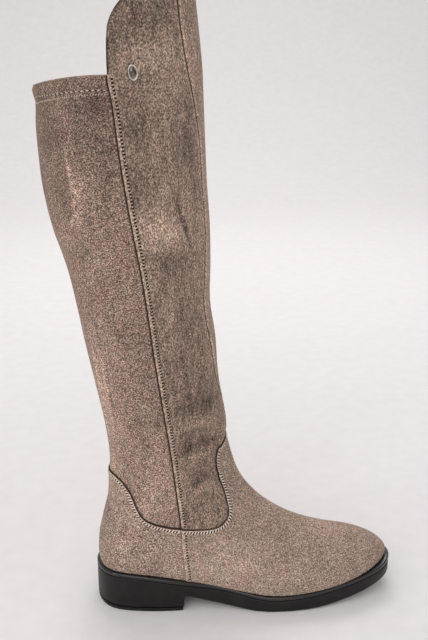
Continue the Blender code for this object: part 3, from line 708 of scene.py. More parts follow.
@dataclass(frozen=True)
class Last:
    """The shape that the upper is pulled over, from the same tables as the part, in millimetres.

    t counts rings upwards. turn runs from 0 at the back over 1 at the outer side seam, 2 at the front and
    3 at the inner side seam to 4, which is the back again. The tables start at the back of the heel, and
    origin moves them into the world frame.
    """
    origin: Point = (-114.4, 0.46, 0.0)
    feather: tuple[Pair, ...] = (
        (0.0, 36.5), (25.0, 36.4), (50.0, 34.0), (75.0, 29.2), (100.0, 24.8), (125.0, 19.6), (150.0, 15.4),
        (175.0, 15.8), (200.0, 18.4), (225.0, 21.8), (250.0, 26.6), (265.0, 30.4),
    )
    centre: tuple[Pair, ...] = (
        (8.0, 0.0), (24.0, -0.2), (66.0, -1.8), (106.0, -2.4), (150.0, -1.8), (190.0, 1.0), (225.0, 2.8),
        (250.0, 3.4), (260.0, 3.6),
    )
    panel_edge: tuple[Pair, ...] = (
        (0.0, 10.35), (0.12, 10.45), (0.27, 10.78), (0.44, 10.95), (0.52, 10.70), (0.57, 10.15),
        (0.62, 9.45), (0.68, 9.15), (0.75, 9.25), (0.85, 9.63), (1.0, 9.93), (1.10, 9.85), (1.20, 9.45),
        (1.30, 8.90), (1.385, 8.60), (1.46, 8.53), (1.53, 8.63), (1.57, 8.90), (1.592, 9.40),
        (1.605, 10.10), (1.617, 11.0), (1.635, 11.65), (1.67, 11.92), (1.73, 11.65), (1.82, 11.0),
        (1.91, 10.35), (2.0, 10.0),
    )
    edge_lean: tuple[Pair, ...] = (
        (8.4, 0.0), (8.9, 0.020), (9.4, 0.033), (10.1, 0.015), (11.0, -0.037), (11.65, -0.075),
        (12.2, -0.070), (13.2, -0.030), (14.5, 0.0),
    )
    front_drift: tuple[Pair, ...] = (
        (12.0, 0.0), (13.0, 0.07), (14.0, 0.20), (15.0, 0.28), (16.0, 0.31), (17.0, 0.29), (18.0, 0.255),
        (19.0, 0.25), (20.0, 0.26), (21.0, 0.325), (22.0, 0.385), (23.0, 0.43), (24.0, 0.44),
    )
    lean_turn: float = 1.61
    lean_reach: float = 0.33
    drift_reach: float = 0.75
    width_places: tuple[float, ...] = (0.10, 0.35, 0.65, 0.90)
    edge_ring: float = 10.0
    pull_below: float = 5.0
    pull_above: float = 4.0
    feather_fade: float = 13.0
    centre_fade: float = 12.0
    front_rise: float = 1.45

    @staticmethod
    def read(table: tuple[Pair, ...], at: np.ndarray) -> np.ndarray:
        """Read a table of pairs as a smooth curve."""
        knots, values = np.array(table).T
        return spline(knots, values, at)

    @staticmethod
    def ring(name: str, t: np.ndarray) -> np.ndarray:
        """One measure of the rings at place t."""
        measures = np.array([getattr(row, name) for row in RINGS])
        return spline(np.arange(len(RINGS), dtype=float), measures, t)

    @staticmethod
    def fold(turn: np.ndarray) -> np.ndarray:
        """The same place with 0 at the back, up to 2 at the front by the outer side and -2 by the inner."""
        return np.mod(turn + 2.0, 4.0) - 2.0

    def edge(self, turn: np.ndarray) -> np.ndarray:
        """Ring of the top edge of counter and vamp."""
        return self.read(self.panel_edge, np.abs(self.fold(turn)))

    def half_width(self, t: np.ndarray, share: np.ndarray) -> np.ndarray:
        """Half width of a ring, round at both ends.

        Args:
            t: The ring.
            share: Share of the ring's length, from its back.

        Returns:
            The half width.
        """
        places = np.array(self.width_places)
        fullness = np.zeros_like(share)
        for i, name in enumerate(("rear", "middle", "fore", "tip")):
            weight = np.ones_like(share)
            for j, place in enumerate(places):
                if j != i:
                    weight = weight * (share - place) / (places[i] - place)
            fullness += weight * self.ring(name, t) / (2.0 * np.sqrt(places[i] * (1.0 - places[i])))
        return 2.0 * np.sqrt(np.clip(share * (1.0 - share), 0.0, None)) * fullness

    def points(self, t: np.ndarray, turn: np.ndarray) -> np.ndarray:
        """Points on the last, in the world frame.

        Args:
            t: Their rings.
            turn: Their places round the rings.

        Returns:
            The points.
        """
        turn = self.fold(turn)
        angle = np.abs(turn) * np.pi / 2.0
        outer = np.sign(turn)
        behind = angle <= np.pi / 2.0
        back_x, side_x, front_x = (self.ring(name, t) for name in ("back_x", "side_x", "front_x"))
        x = side_x - np.where(behind, side_x - back_x, front_x - side_x) * np.cos(angle)
        y = -outer * self.half_width(t, (x - back_x) / (front_x - back_x))
        y = y + self.read(self.centre, x) * np.clip(1.0 - t / self.centre_fade, 0.0, 1.0)

        follow = np.clip((self.feather_fade - t) / (self.feather_fade - self.edge_ring), 0.0, 1.0)
        back, side, front = (self.ring(name, t) - follow * self.read(self.feather, at) for name, at in
                             (("back_z", back_x), ("side_z", side_x), ("front_z", front_x)))
        rise = smooth_step(np.abs(turn) - 1.0) ** self.front_rise
        lift = np.where(behind, back + (side - back) * np.sin(angle) ** 2, side + (front - side) * rise)
        z = follow * self.read(self.feather, x) + lift + self.ring("roll", t) * outer * np.sin(angle)
        return np.stack([x, y, z], axis=-1) + np.array(self.origin)

    def normals(self, t: np.ndarray, turn: np.ndarray) -> np.ndarray:
        """Unit normals that point out of the boot.

        Args:
            t: Rings of the points.
            turn: Their places round the rings.

        Returns:
            The normals.
        """
        small = 0.01
        low = np.maximum(t - small, 0.0)
        up = self.points(t + small, turn) - self.points(low, turn)
        around = self.points(t, turn + small) - self.points(t, turn - small)
        return unit(np.cross(around, up))

    def follow_edge(self, ring: np.ndarray, turn: np.ndarray) -> np.ndarray:
        """Pull the rows near the ankle so that one of them runs along the edge of counter and vamp.

        Args:
            ring: Rings of the level rows.
            turn: Places round the rings.

        Returns:
            Rings of the pulled rows.
        """
        below = (ring - self.edge_ring) / self.pull_below + 1.0
        over = (self.edge_ring - ring) / self.pull_above + 1.0
        return ring + (self.edge(turn) - self.edge_ring) * smooth_step(np.minimum(below, over))

    def lean(self, t: np.ndarray, turn: np.ndarray) -> np.ndarray:
        """Lean the columns by the vamp's curved edge, so that the edge can hang over towards the front.

        Args:
            t: Rings of the points.
            turn: Places of the upright columns.

        Returns:
            Places of the leaning columns.
        """
        side = self.fold(turn)
        near = smooth_step(1.0 - np.abs(np.abs(side) - self.lean_turn) / self.lean_reach)
        return turn + np.sign(side) * self.read(self.edge_lean, t) * near

    def drift(self, ring: np.ndarray, turn: np.ndarray) -> np.ndarray:
        """Turn the front columns so that the middle one runs along the seam up the front of the leg."""
        near = smooth_step(1.0 - np.abs(turn - 2.0) / self.drift_reach)
        return turn - self.read(self.front_drift, ring) * near

    def feather_height(self, x: np.ndarray) -> np.ndarray:
        """Height of the line where the upper meets the welt, at world x."""
        return self.read(self.feather, x - self.origin[0])


@dataclass
class Upper:
    """The suede upper: shaft with back and front panel, counter, vamp and lining, in one hollow mesh."""
    finishes: dict[Panel, bpy.types.Material]
    last: Last = Last()
    back_turns: tuple[float, ...] = (
        0.0, 0.12, 0.24, 0.35, 0.44, 0.51, 0.57, 0.63, 0.71, 0.81, 0.91, 0.97, 1.0,
    )
    front_turns: tuple[float, ...] = (
        1.0, 1.035, 1.10, 1.20, 1.30, 1.385, 1.46, 1.53, 1.57, 1.592, 1.605, 1.617, 1.635, 1.67, 1.73, 1.82,
        1.91, 1.97, 2.0,
    )
    columns_per_turn_step: int = 4
    foot_rows: int = 66
    ankle_rows: int = 36
    leg_rows: int = 128
    hem_rows: int = 16
    wing_rows: int = 28
    lining_step: int = 4
    hem_ring: float = 22.0
    leg_ring: float = 13.0
    wing_corner_ring: float = 22.75
    wing_top_ring: float = 24.0
    wing_corner_turn: float = 0.38
    wall: float = 1.3
    panel_step: float = 0.8
    step_run: float = 0.6
    seam_slit: Bead = Bead(0.0, 0.9, -0.8)
    seam_welt: Bead = Bead(3.0, 1.4, 0.3)
    # Painted highlight beside the front seam's slit
    seam_highlight: Bead = Bead(2.0, 1.1, 0.5)
    band_tone: float = 0.22
    band_fade_rings: float = 2.0
    wing_line: float = 2.1
    hem_depth: float = 11.4
    hem_rise: float = 0.35
    hem_ease: float = 2.0
    hem_groove: Bead = Bead(0.0, 1.6, -0.3)
    hem_roll: float = 2.2
    hem_roll_depth: float = 5.0
    # Painted highlight beside each lap's edge
    lap_highlight: Bead = Bead(1.3, 1.1, 0.6)
    lap_swell: Bead = Bead(1.8, 1.5, 0.25)
    foot_lap_gap: float = 0.5
    side_lap_gap: float = 0.45
    deepest_tone: float = -0.75
    calm_below: float = 36.0
    calm_over: float = 14.0

    def columns(self) -> np.ndarray:
        """Lay out the columns once round, with both side seams doubled.

        Returns:
            Their turns.
        """
        halves = []
        for table in (self.back_turns, self.front_turns):
            places = np.linspace(0.0, len(table) - 1.0, (len(table) - 1) * self.columns_per_turn_step + 1)
            halves.append(np.interp(places, np.arange(len(table)), table))
        outer = np.concatenate(halves)
        return np.concatenate([outer, (4.0 - outer)[-2::-1]])

    def rows(self) -> np.ndarray:
        """Lay out the rows from the feather line to the hem, with the panel edge doubled.

        Returns:
            Their rings.
        """
        edge, low_hem = self.last.edge_ring, self.hem_ring - 1.0
        return np.concatenate([
            np.linspace(0.0, edge, self.foot_rows),
            np.linspace(edge, self.leg_ring, self.ankle_rows, endpoint=False),
            np.linspace(self.leg_ring, low_hem, self.leg_rows, endpoint=False),
            np.linspace(low_hem, self.hem_ring, self.hem_rows + 1),
        ])

    def wing_top(self, turn: np.ndarray) -> np.ndarray:
        """Find the wing's top edge, with a rounded corner at each back edge.

        Args:
            turn: Places round the wing.

        Returns:
            Ring of the edge at each place.
        """
        along = np.clip((np.abs(self.last.fold(turn)) - 1.0) / self.wing_corner_turn, 0.0, 1.0)
        rounded = np.sqrt(1.0 - (1.0 - along) ** 2)
        return self.wing_corner_ring + (self.wing_top_ring - self.wing_corner_ring) * rounded

    def lay_out(self) -> None:
        """Work out every row and column of the outside, its panels and its distances to the seams."""
        rings, turns = self.rows(), self.columns()
        ring, turn = np.meshgrid(rings, turns, indexing="ij")
        t = self.last.follow_edge(ring, turn)
        turn = self.last.lean(t, self.last.drift(ring, turn))
        share = np.arange(1, self.wing_rows + 1)[:, None] / self.wing_rows
        rise = self.hem_ring + (self.wing_top_ring - self.hem_ring) * share
        wing_turn = self.last.drift(rise, np.tile(turns, (self.wing_rows, 1)))
        wing_t = self.hem_ring + (self.wing_top(wing_turn) - self.hem_ring) * share
        self.t = np.concatenate([t, wing_t])
        self.turn = np.concatenate([turn, wing_turn])
        self.points = self.last.points(self.t, self.turn)
        self.normals = self.last.normals(self.t, self.turn)
        self.edge_row = int(np.argmax(rings == self.last.edge_ring))
        self.hem_row = len(rings) - 1
        self.seam_outer = int(np.argmax(turns == 1.0))
        self.seam_inner = int(np.argmax(turns == 3.0))
        self.front_column = int(np.argmax(turns == 2.0))
        ring_round = np.concatenate([self.points[:, -2:-1], self.points, self.points[:, 1:2]], axis=1)
        self.up = unit(np.cross(self.normals, ring_round[:, 2:] - ring_round[:, :-2]))
        self.around = unit(np.cross(np.gradient(self.points, axis=0), self.normals))
        half_run = self.step_run / 2.0
        row = self.edge_row
        self.points[row] -= self.up[row] * half_run
        self.points[row + 1] += self.up[row + 1] * half_run
        for seam in (self.seam_outer, self.seam_inner):
            self.points[:, seam] -= self.around[:, seam] * half_run
            self.points[:, seam + 1] += self.around[:, seam + 1] * half_run
        self.steps = np.zeros(self.t.shape)
        self.steps[:row + 1] += 1.0
        self.steps[:, self.seam_outer + 1:self.seam_inner + 1] += 1.0

    def panels(self) -> np.ndarray:
        """Sort the faces between the rows and columns by panel.

        Returns:
            Panel of each face.
        """
        rows, columns = self.t.shape
        panel = np.full((rows - 1, columns - 1), int(Panel.BACK))
        front = slice(self.seam_outer + 1, self.seam_inner)
        panel[:, front] = Panel.FRONT
        panel[:self.edge_row] = Panel.COUNTER
        panel[:self.edge_row, front] = Panel.VAMP
        panel[self.edge_row] = Panel.EDGE
        for seam in (self.seam_outer, self.seam_inner):
            panel[self.edge_row:, seam] = Panel.EDGE
            panel[:self.edge_row, seam] = Panel.VAMP
        return panel

    def lines(self) -> dict[str, list[SeamLine]]:
        """Find the laps, foot seams, hem and wing edges, each with the way into its panel.

        Returns:
            The lines by name.
        """
        leg, foot = slice(self.edge_row + 1, self.hem_row + 1), slice(0, self.edge_row + 1)
        front = slice(self.seam_outer + 1, self.seam_inner + 1)
        outer_back, inner_back = slice(0, self.seam_outer + 1), slice(self.seam_inner + 1, None)
        outside = self.points + self.normals * (self.panel_step * self.steps)[..., None]

        def line(rows: slice | int, columns: slice | int, way: np.ndarray) -> SeamLine:
            """Cut one line out of the rows and columns."""
            return SeamLine(outside[rows, columns], self.normals[rows, columns], way[rows, columns])

        sides = ((self.seam_outer + 1, self.around), (self.seam_inner, -self.around))
        under = ((self.seam_outer, -self.around), (self.seam_inner + 1, self.around))
        back_halves = (outer_back, inner_back)
        return {
            "side": [line(leg, column, way) for column, way in sides],
            "foot": [line(foot, column, way) for column, way in sides],
            "vamp": [line(self.edge_row, front, -self.up)],
            "counter": [line(self.edge_row, half, -self.up) for half in back_halves],
            "hem": [line(self.hem_row, half, -self.up) for half in back_halves],
            "side_under": [line(leg, column, way) for column, way in under],
            "back_under": [line(self.edge_row + 1, half, self.up) for half in back_halves],
            "front_under": [line(self.edge_row + 1, front, self.up)],
            "counter_under": [line(foot, column, way) for column, way in under],
            "wing": [line(slice(self.hem_row, None), column, way) for column, way in sides]
            + [line(-1, front, -self.up)],
        }

    def gap(self, lines: Iterable[SeamLine]) -> np.ndarray:
        """Measure every point against some lines.

        Args:
            lines: The lines.

        Returns:
            Distance of each point to the nearest of them.
        """
        places = np.concatenate([line.points for line in lines])
        tree = KDTree(len(places))
        for index, place in enumerate(places):
            tree.insert(place, index)
        tree.balance()
        flat = self.points.reshape(-1, 3)
        return np.array([tree.find(point)[2] for point in flat]).reshape(self.t.shape)

    def nearest(self, *seams: tuple[np.ndarray, list[SeamLine], float]) -> np.ndarray:
        """Measure panels against their own seams.

        Args:
            seams: The points of a panel, its seam's lines and what is added to the distance.

        Returns:
            Distance of each point to its panel's nearest seam, or FAR_MM where there is none.
        """
        gap = np.full(self.t.shape, FAR_MM)
        for owner, lines, more in seams:
            gap = np.where(owner, np.minimum(gap, self.gap(lines) + more), gap)
        return gap

    def sew_front(self, lines: dict[str, list[SeamLine]]) -> np.ndarray:
        """Sew the front seam: a slit between two low welts, a painted highlight beside it, and the suede
        past it drawn lighter.

        Args:
            lines: The upper's lines.

        Returns:
            How far the seam moves the suede.
        """
        seam = np.linalg.norm(self.points - self.points[:, self.front_column][:, None], axis=-1)
        seam = np.where(self.leg & self.front, np.minimum(seam, FAR_MM), FAR_MM)
        past = self.leg & self.front & (np.arange(self.t.shape[1]) >= self.front_column)
        band = self.band_tone * smooth_step((self.t - self.leg_ring) / self.band_fade_rings)
        # Painted highlight beside the slit, and the band past the seam drawn lighter
        self.tone += self.seam_highlight.at(seam) + past * band
        wing = self.front & (np.arange(len(self.t))[:, None] >= self.hem_row)
        rim = self.nearest((wing, lines["wing"], 0.0))
        # Distance that the finish turns into a thin dark line: painted shade in the seam's slit, and along
        # the wing's rims
        self.slit = np.minimum(seam, rim / self.wing_line)
        return self.seam_slit.at(seam) + self.seam_welt.at(seam)

    def fold_hem(self, lines: dict[str, list[SeamLine]]) -> np.ndarray:
        """Fold the hem: a low band that rolls in at its top.

        Args:
            lines: The upper's lines.

        Returns:
            How far the hem moves the suede.
        """
        gap = self.nearest((self.leg & ~self.front, lines["hem"], 0.0))
        band = self.hem_rise * smooth_step((self.hem_depth - gap) / self.hem_ease)
        roll = self.hem_roll * np.clip(1.0 - gap / self.hem_roll_depth, 0.0, 1.0) ** 2
        return band + self.hem_groove.at(gap - self.hem_depth) - roll

    def lap_panels(self, lines: dict[str, list[SeamLine]]) -> np.ndarray:
        """Lap the panels: painted shadow on the lower one, and a swell with a painted highlight along the
        upper one's edge.

        Args:
            lines: The upper's lines.

        Returns:
            How far the laps move the suede.
        """
        back_leg, front_leg = self.leg & ~self.front, self.leg & self.front
        counter, vamp = ~self.leg & ~self.front, ~self.leg & self.front
        # Distance that the finish turns into painted shadow beside each lap; it starts further off at the
        # side and foot laps
        self.under = self.nearest((back_leg, lines["back_under"], 0.0),
                                  (back_leg, lines["side_under"], self.side_lap_gap),
                                  (front_leg, lines["front_under"], 0.0),
                                  (counter, lines["counter_under"], self.foot_lap_gap))
        over = self.nearest((front_leg, lines["side"], 0.0), (counter, lines["counter"], 0.0),
                            (vamp, lines["vamp"] + lines["foot"], 0.0))
        # Painted highlight along the upper panel's edge
        self.tone += self.lap_highlight.at(over)
        return self.lap_swell.at(over)

    def shape(self, lines: dict[str, list[SeamLine]]) -> None:
        """Work out how far creases, seams and hem move the suede, and the values that the finishes read.

        Args:
            lines: The upper's lines.
        """
        self.tone = np.zeros(self.t.shape)
        self.rise = np.zeros(self.t.shape)
        # Creases paint shade into their troughs and highlight onto their ridges; patches add the nap's own
        # tone and some painted highlight
        for mark in (*CREASES, *PATCHES):
            weight = mark.weight(self.points)
            self.rise += weight * mark.rise
            self.tone += weight * mark.tone
        rows, columns = np.indices(self.t.shape)
        self.leg = rows > self.edge_row
        self.front = (columns > self.seam_outer) & (columns <= self.seam_inner)
        self.fine = self.sew_front(lines) + self.fold_hem(lines) + self.lap_panels(lines)
        self.tone = np.maximum(self.tone, self.deepest_tone)
        calm = smooth_step((self.points[..., 2] - self.calm_below) / self.calm_over)
        self.rise *= calm
        self.fine *= calm

    def skin(self, bm: bmesh.types.BMesh, points: np.ndarray, panels: np.ndarray,
             values: dict[Attribute, np.ndarray], hem_row: int) -> list[list[bmesh.types.BMVert]]:
        """Lay a grid over the last, close it at the back and cut the wing free from the back panel.

        Args:
            bm: The mesh that takes the grid.
            points: Places of the rows and columns in millimetres.
            panels: Panel of each face.
            values: Numbers for the finishes by attribute.
            hem_row: Row of the hem.

        Returns:
            The grid's points in rows and columns.
        """
        rows, columns = points.shape[:2]
        numbers = bm.verts.layers.float
        layers = {key: numbers.get(key.value) or numbers.new(key.value) for key in values}
        verts = bmesh.ops.create_grid(bm, x_segments=columns - 1, y_segments=rows - 1, size=1.0)["verts"]
        for index, vert in enumerate(verts):
            row, column = divmod(index, columns)
            vert.co = Vector(points[row, column]) * MM
            for key, layer in layers.items():
                vert[layer] = float(values[key][row, column])
        number = {vert: index for index, vert in enumerate(verts)}
        surplus = []
        for face in {face for vert in verts for face in vert.link_faces}:
            row, column = divmod(min(number[vert] for vert in face.verts), columns)
            face.material_index = int(panels[row, column])
            face.smooth = True
            if row >= hem_row and not self.seam_outer < column < self.seam_inner:
                surplus.append(face)
        table = [verts[row * columns:(row + 1) * columns] for row in range(rows)]
        closing = {row.pop(): row[0] for row in table[:hem_row + 1]}
        bmesh.ops.delete(bm, geom=surplus, context="FACES")
        bmesh.ops.weld_verts(bm, targetmap=closing)
        return table

    def rims(self) -> list[list[tuple[int, int]]]:
        """Follow the rims at the welt, the hem and the wing.

        Returns:
            Rows and columns along each stretch.
        """
        top, first, last = len(self.t) - 1, self.seam_outer + 1, self.seam_inner
        across = self.t.shape[1] - 1
        half = across // 2
        return [
            [(0, column) for column in range(half + 1)],
            [(0, column % across) for column in range(half, across + 1)],
            [(self.hem_row, column) for column in range(first + 1)],
            [(self.hem_row, column % across) for column in range(last, across + 1)],
            [(row, first) for row in range(self.hem_row, top + 1)],
            [(top, column) for column in range(first, last + 1)],
            [(row, last) for row in range(self.hem_row, top + 1)],
        ]

    def build(self) -> tuple[bpy.types.Object, dict[str, list[SeamLine]]]:
        """Build and dress the upper.

        Returns:
            The upper and the lines where its panels are sewn.
        """
        self.lay_out()
        lines = self.lines()
        self.shape(lines)
        out = self.panel_step * self.steps + self.rise + self.fine
        outside = self.points + self.normals * out[..., None]
        inside = self.points + self.normals * (self.rise - self.wall)[..., None]
        for skin in (outside, inside):
            skin[0, :, 2] = self.last.feather_height(skin[0, :, 0])
        values = {Attribute.TONE: self.tone, Attribute.UNDER: self.under, Attribute.SLIT: self.slit}
        bm = bmesh.new()
        panels = self.panels()
        kept = np.unique(np.concatenate([np.arange(0, self.hem_row, self.lining_step),
                                         np.arange(self.hem_row, len(self.t))])).tolist()
        plain = {key: np.full(inside[kept].shape[:2], 0.0 if key is Attribute.TONE else FAR_MM)
                 for key in values}
        lining = np.full((len(kept) - 1, panels.shape[1]), int(Panel.LINING))
        outer = self.skin(bm, outside, panels, values, self.hem_row)
        inner = self.skin(bm, inside[kept], lining, plain, kept.index(self.hem_row))
        for path in self.rims():
            sides = ([outer[row][column] for row, column in path],
                     [inner[kept.index(row)][column] for row, column in path])
            edges = [bm.edges.get(pair) for side in sides for pair in zip(side, side[1:])]
            for face in bmesh.ops.bridge_loops(bm, edges=edges)["faces"]:
                face.material_index = Panel.EDGE if path[0][0] == 0 else Panel.FRONT
                face.smooth = True
        bmesh.ops.recalc_face_normals(bm, faces=bm.faces)
        upper = bpy.data.objects.new("upper_suede", mesh_from(bm, "upper_suede"))
        for panel in Panel:
            upper.data.materials.append(self.finishes[panel])
        return upper, lines


def copy_of_node(node: str, merge_mm: float) -> bmesh.types.BMesh:
    """Copy a CAD node's mesh, merge its loose triangles and join them into four-sided faces.

    Args:
        node: Name of the CAD node.
        merge_mm: Points closer than this become one.

    Returns:
        The merged mesh.
    """
    bm = bmesh.new()
    bm.from_mesh(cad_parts[node].data)
    bmesh.ops.remove_doubles(bm, verts=bm.verts, dist=merge_mm * MM)
    bmesh.ops.join_triangles(bm, faces=bm.faces, angle_face_threshold=math.pi,
                             angle_shape_threshold=math.pi)
    for face in bm.faces:
        face.material_index = 0
        face.smooth = True
    bm.normal_update()
    return bm


def mesh_from(bm: bmesh.types.BMesh, name: str) -> bpy.types.Mesh:
    """Write a bmesh into a new mesh and free it.

    Args:
        bm: The bmesh.
        name: Name of the mesh.

    Returns:
        The mesh.
    """
    mesh = bpy.data.meshes.new(name)
    bm.to_mesh(mesh)
    bm.free()
    return mesh


def place_piece(piece: bpy.types.Object, slot: str, *nodes: str) -> None:
    """Link a piece, let it ride on the boot's body, hide the CAD nodes that it replaces and log its face
    count.

    Args:
        piece: The finished piece.
        slot: The record's material slot; not used.
        nodes: CAD nodes that the piece replaces.
    """
    if piece.name not in bpy.context.scene.collection.objects:
        bpy.context.scene.collection.objects.link(piece)
    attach(piece, BODY)
    if nodes:
        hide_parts(*nodes)
    log.info("%s: %d faces", piece.name, len(piece.data.polygons))


@dataclass(frozen=True)
class StitchRow:
    """One row of stitches beside a line, in millimetres."""
    offset: float
    pitch: float
    length: float
    width: float
    height: float
    slant_deg: float = 0.0
    sink: float = 0.1
    phase: float = 0.0


@dataclass
class Stitching:
    """Thread along the seams, and dark grains as painted shade in its needle holes, as many small grains in
    one mesh for each finish.
    """
    surface: bpy.types.Object
    sides: int = 8
    rings: int = 5

    def __post_init__(self) -> None:
        """Make one grain, get the surface ready to be measured, and start the first piece."""
        grain = bmesh.new()
        bmesh.ops.create_uvsphere(grain, u_segments=self.sides, v_segments=self.rings, radius=0.5)
        self.grain = mesh_from(grain, "stitch grain")
        mesh = self.surface.data
        corners = [v.co for v in mesh.vertices]
        self.tree = BVHTree.FromPolygons(corners, [tuple(p.vertices) for p in mesh.polygons])
        self.grains = bmesh.new()

    def walk(self, line: SeamLine, row: StitchRow) -> list[tuple[Vector, Vector, Vector]]:
        """Step along a line at the row's pitch.

        Args:
            line: The line that the row follows.
            row: The row's sizes.

        Returns:
            Place, direction and surface normal of each stitch, in millimetres.
        """
        track = line.points + line.inward * row.offset
        track = np.concatenate([track[:1], (track[:-2] + track[1:-1] + track[2:]) / 3.0, track[-1:]])
        steps = np.linalg.norm(np.diff(track, axis=0), axis=1)
        reach = np.concatenate([[0.0], np.cumsum(steps)])
        places = np.arange(row.phase * row.pitch, reach[-1] - row.length, row.pitch)
        spots = []
        for start in places:
            ends = [np.array([np.interp(start + part, reach, track[:, i]) for i in range(3)])
                    for part in (0.0, row.length)]
            hits = [self.tree.find_nearest(Vector(end) * MM) for end in ends]
            first, last = (hit[0] / MM for hit in hits)
            normal = (hits[0][1] + hits[1][1]).normalized()
            spots.append(((first + last) / 2.0, (last - first).normalized(), normal))
        return spots

    def sew(self, lines: Iterable[SeamLine], row: StitchRow) -> None:
        """Add a row of stitches along each line.

        Args:
            lines: The lines.
            row: The row's sizes.
        """
        slant = math.radians(row.slant_deg)
        for line in lines:
            for place, way, normal in self.walk(line, row):
                across = normal.cross(way).normalized()
                along = way * math.cos(slant) + across * math.sin(slant)
                axes = Matrix((along * row.length, normal.cross(along) * row.width, normal * row.height))
                spot = Matrix.Translation(place - normal * row.sink) @ axes.transposed().to_4x4()
                stitch = self.grain.copy()
                stitch.transform(Matrix.Scale(MM, 4) @ spot)
                self.grains.from_mesh(stitch)
                bpy.data.meshes.remove(stitch)

    def build(self, name: str, finish: bpy.types.Material) -> bpy.types.Object:
        """Make a piece of all grains that were sewn since the last one.

        Args:
            name: Name of the piece.
            finish: Its material.

        Returns:
            The piece.
        """
        piece = bpy.data.objects.new(name, mesh_from(self.grains, name))
        piece.data.materials.append(finish)
        piece.data.shade_smooth()
        self.grains = bmesh.new()
        return piece


@dataclass
class Sole:
    """The moulded sole unit, its welt, the heel's top piece and the insole."""
    rubber: bpy.types.Material
    welt: bpy.types.Material
    board: bpy.types.Material
    merge_mm: float = 0.02
    tread_rim: float = 1.6
    tread_depth: float = 1.2
    tread_strip_m2: float = 60e-6
    tread_facing: float = -0.9
    edge: float = 0.45
    edge_steps: int = 3
    edge_angle_deg: float = 28.0

    def soften(self, piece: bpy.types.Object) -> None:
        """Round a piece's hard edges.

        Args:
            piece: The piece.
        """
        bevel = piece.modifiers.new("round edges", "BEVEL")
        bevel.width = self.edge * MM
        bevel.segments = self.edge_steps
        bevel.limit_method = "ANGLE"
        bevel.angle_limit = math.radians(self.edge_angle_deg)
        bevel.harden_normals = True

    def press_tread(self, bm: bmesh.types.BMesh) -> None:
        """Press a groove into each strip of the underside.

        Args:
            bm: Mesh of the piece.
        """
        bm.normal_update()
        under = [face for face in bm.faces
                 if face.normal.z < self.tread_facing and face.calc_area() > self.tread_strip_m2]
        bmesh.ops.inset_individual(bm, faces=under, thickness=self.tread_rim * MM, use_even_offset=True)
        for face in under:
            bmesh.ops.translate(bm, verts=face.verts, vec=(0.0, 0.0, self.tread_depth * MM))

    def piece(self, node: str, name: str, finish: bpy.types.Material, tread: bool) -> bpy.types.Object:
        """Build one piece of the sole from its CAD node.

        Args:
            node: The CAD node.
            name: The piece's name.
            finish: Its material.
            tread: Whether its underside gets grooves.

        Returns:
            The piece.
        """
        bm = copy_of_node(node, self.merge_mm)
        if tread:
            self.press_tread(bm)
        made = bpy.data.objects.new(name, mesh_from(bm, name))
        made.data.materials.append(finish)
        made.data.shade_smooth()
        self.soften(made)
        return made

    def build(self) -> None:
        """Build and dress every piece of the sole."""
        for node, name, finish, slot, tread in (
                ("outsole", "sole_unit", self.rubber, "black_rubber", True),
                ("heel_top_piece", "heel_lift", self.rubber, "black_rubber", True),
                ("welt", "welt_bead", self.welt, "black_welt", False),
                ("insole", "insole_sock", self.board, "insole_lining", False)):
            place_piece(self.piece(node, name, finish, tread), slot, node)


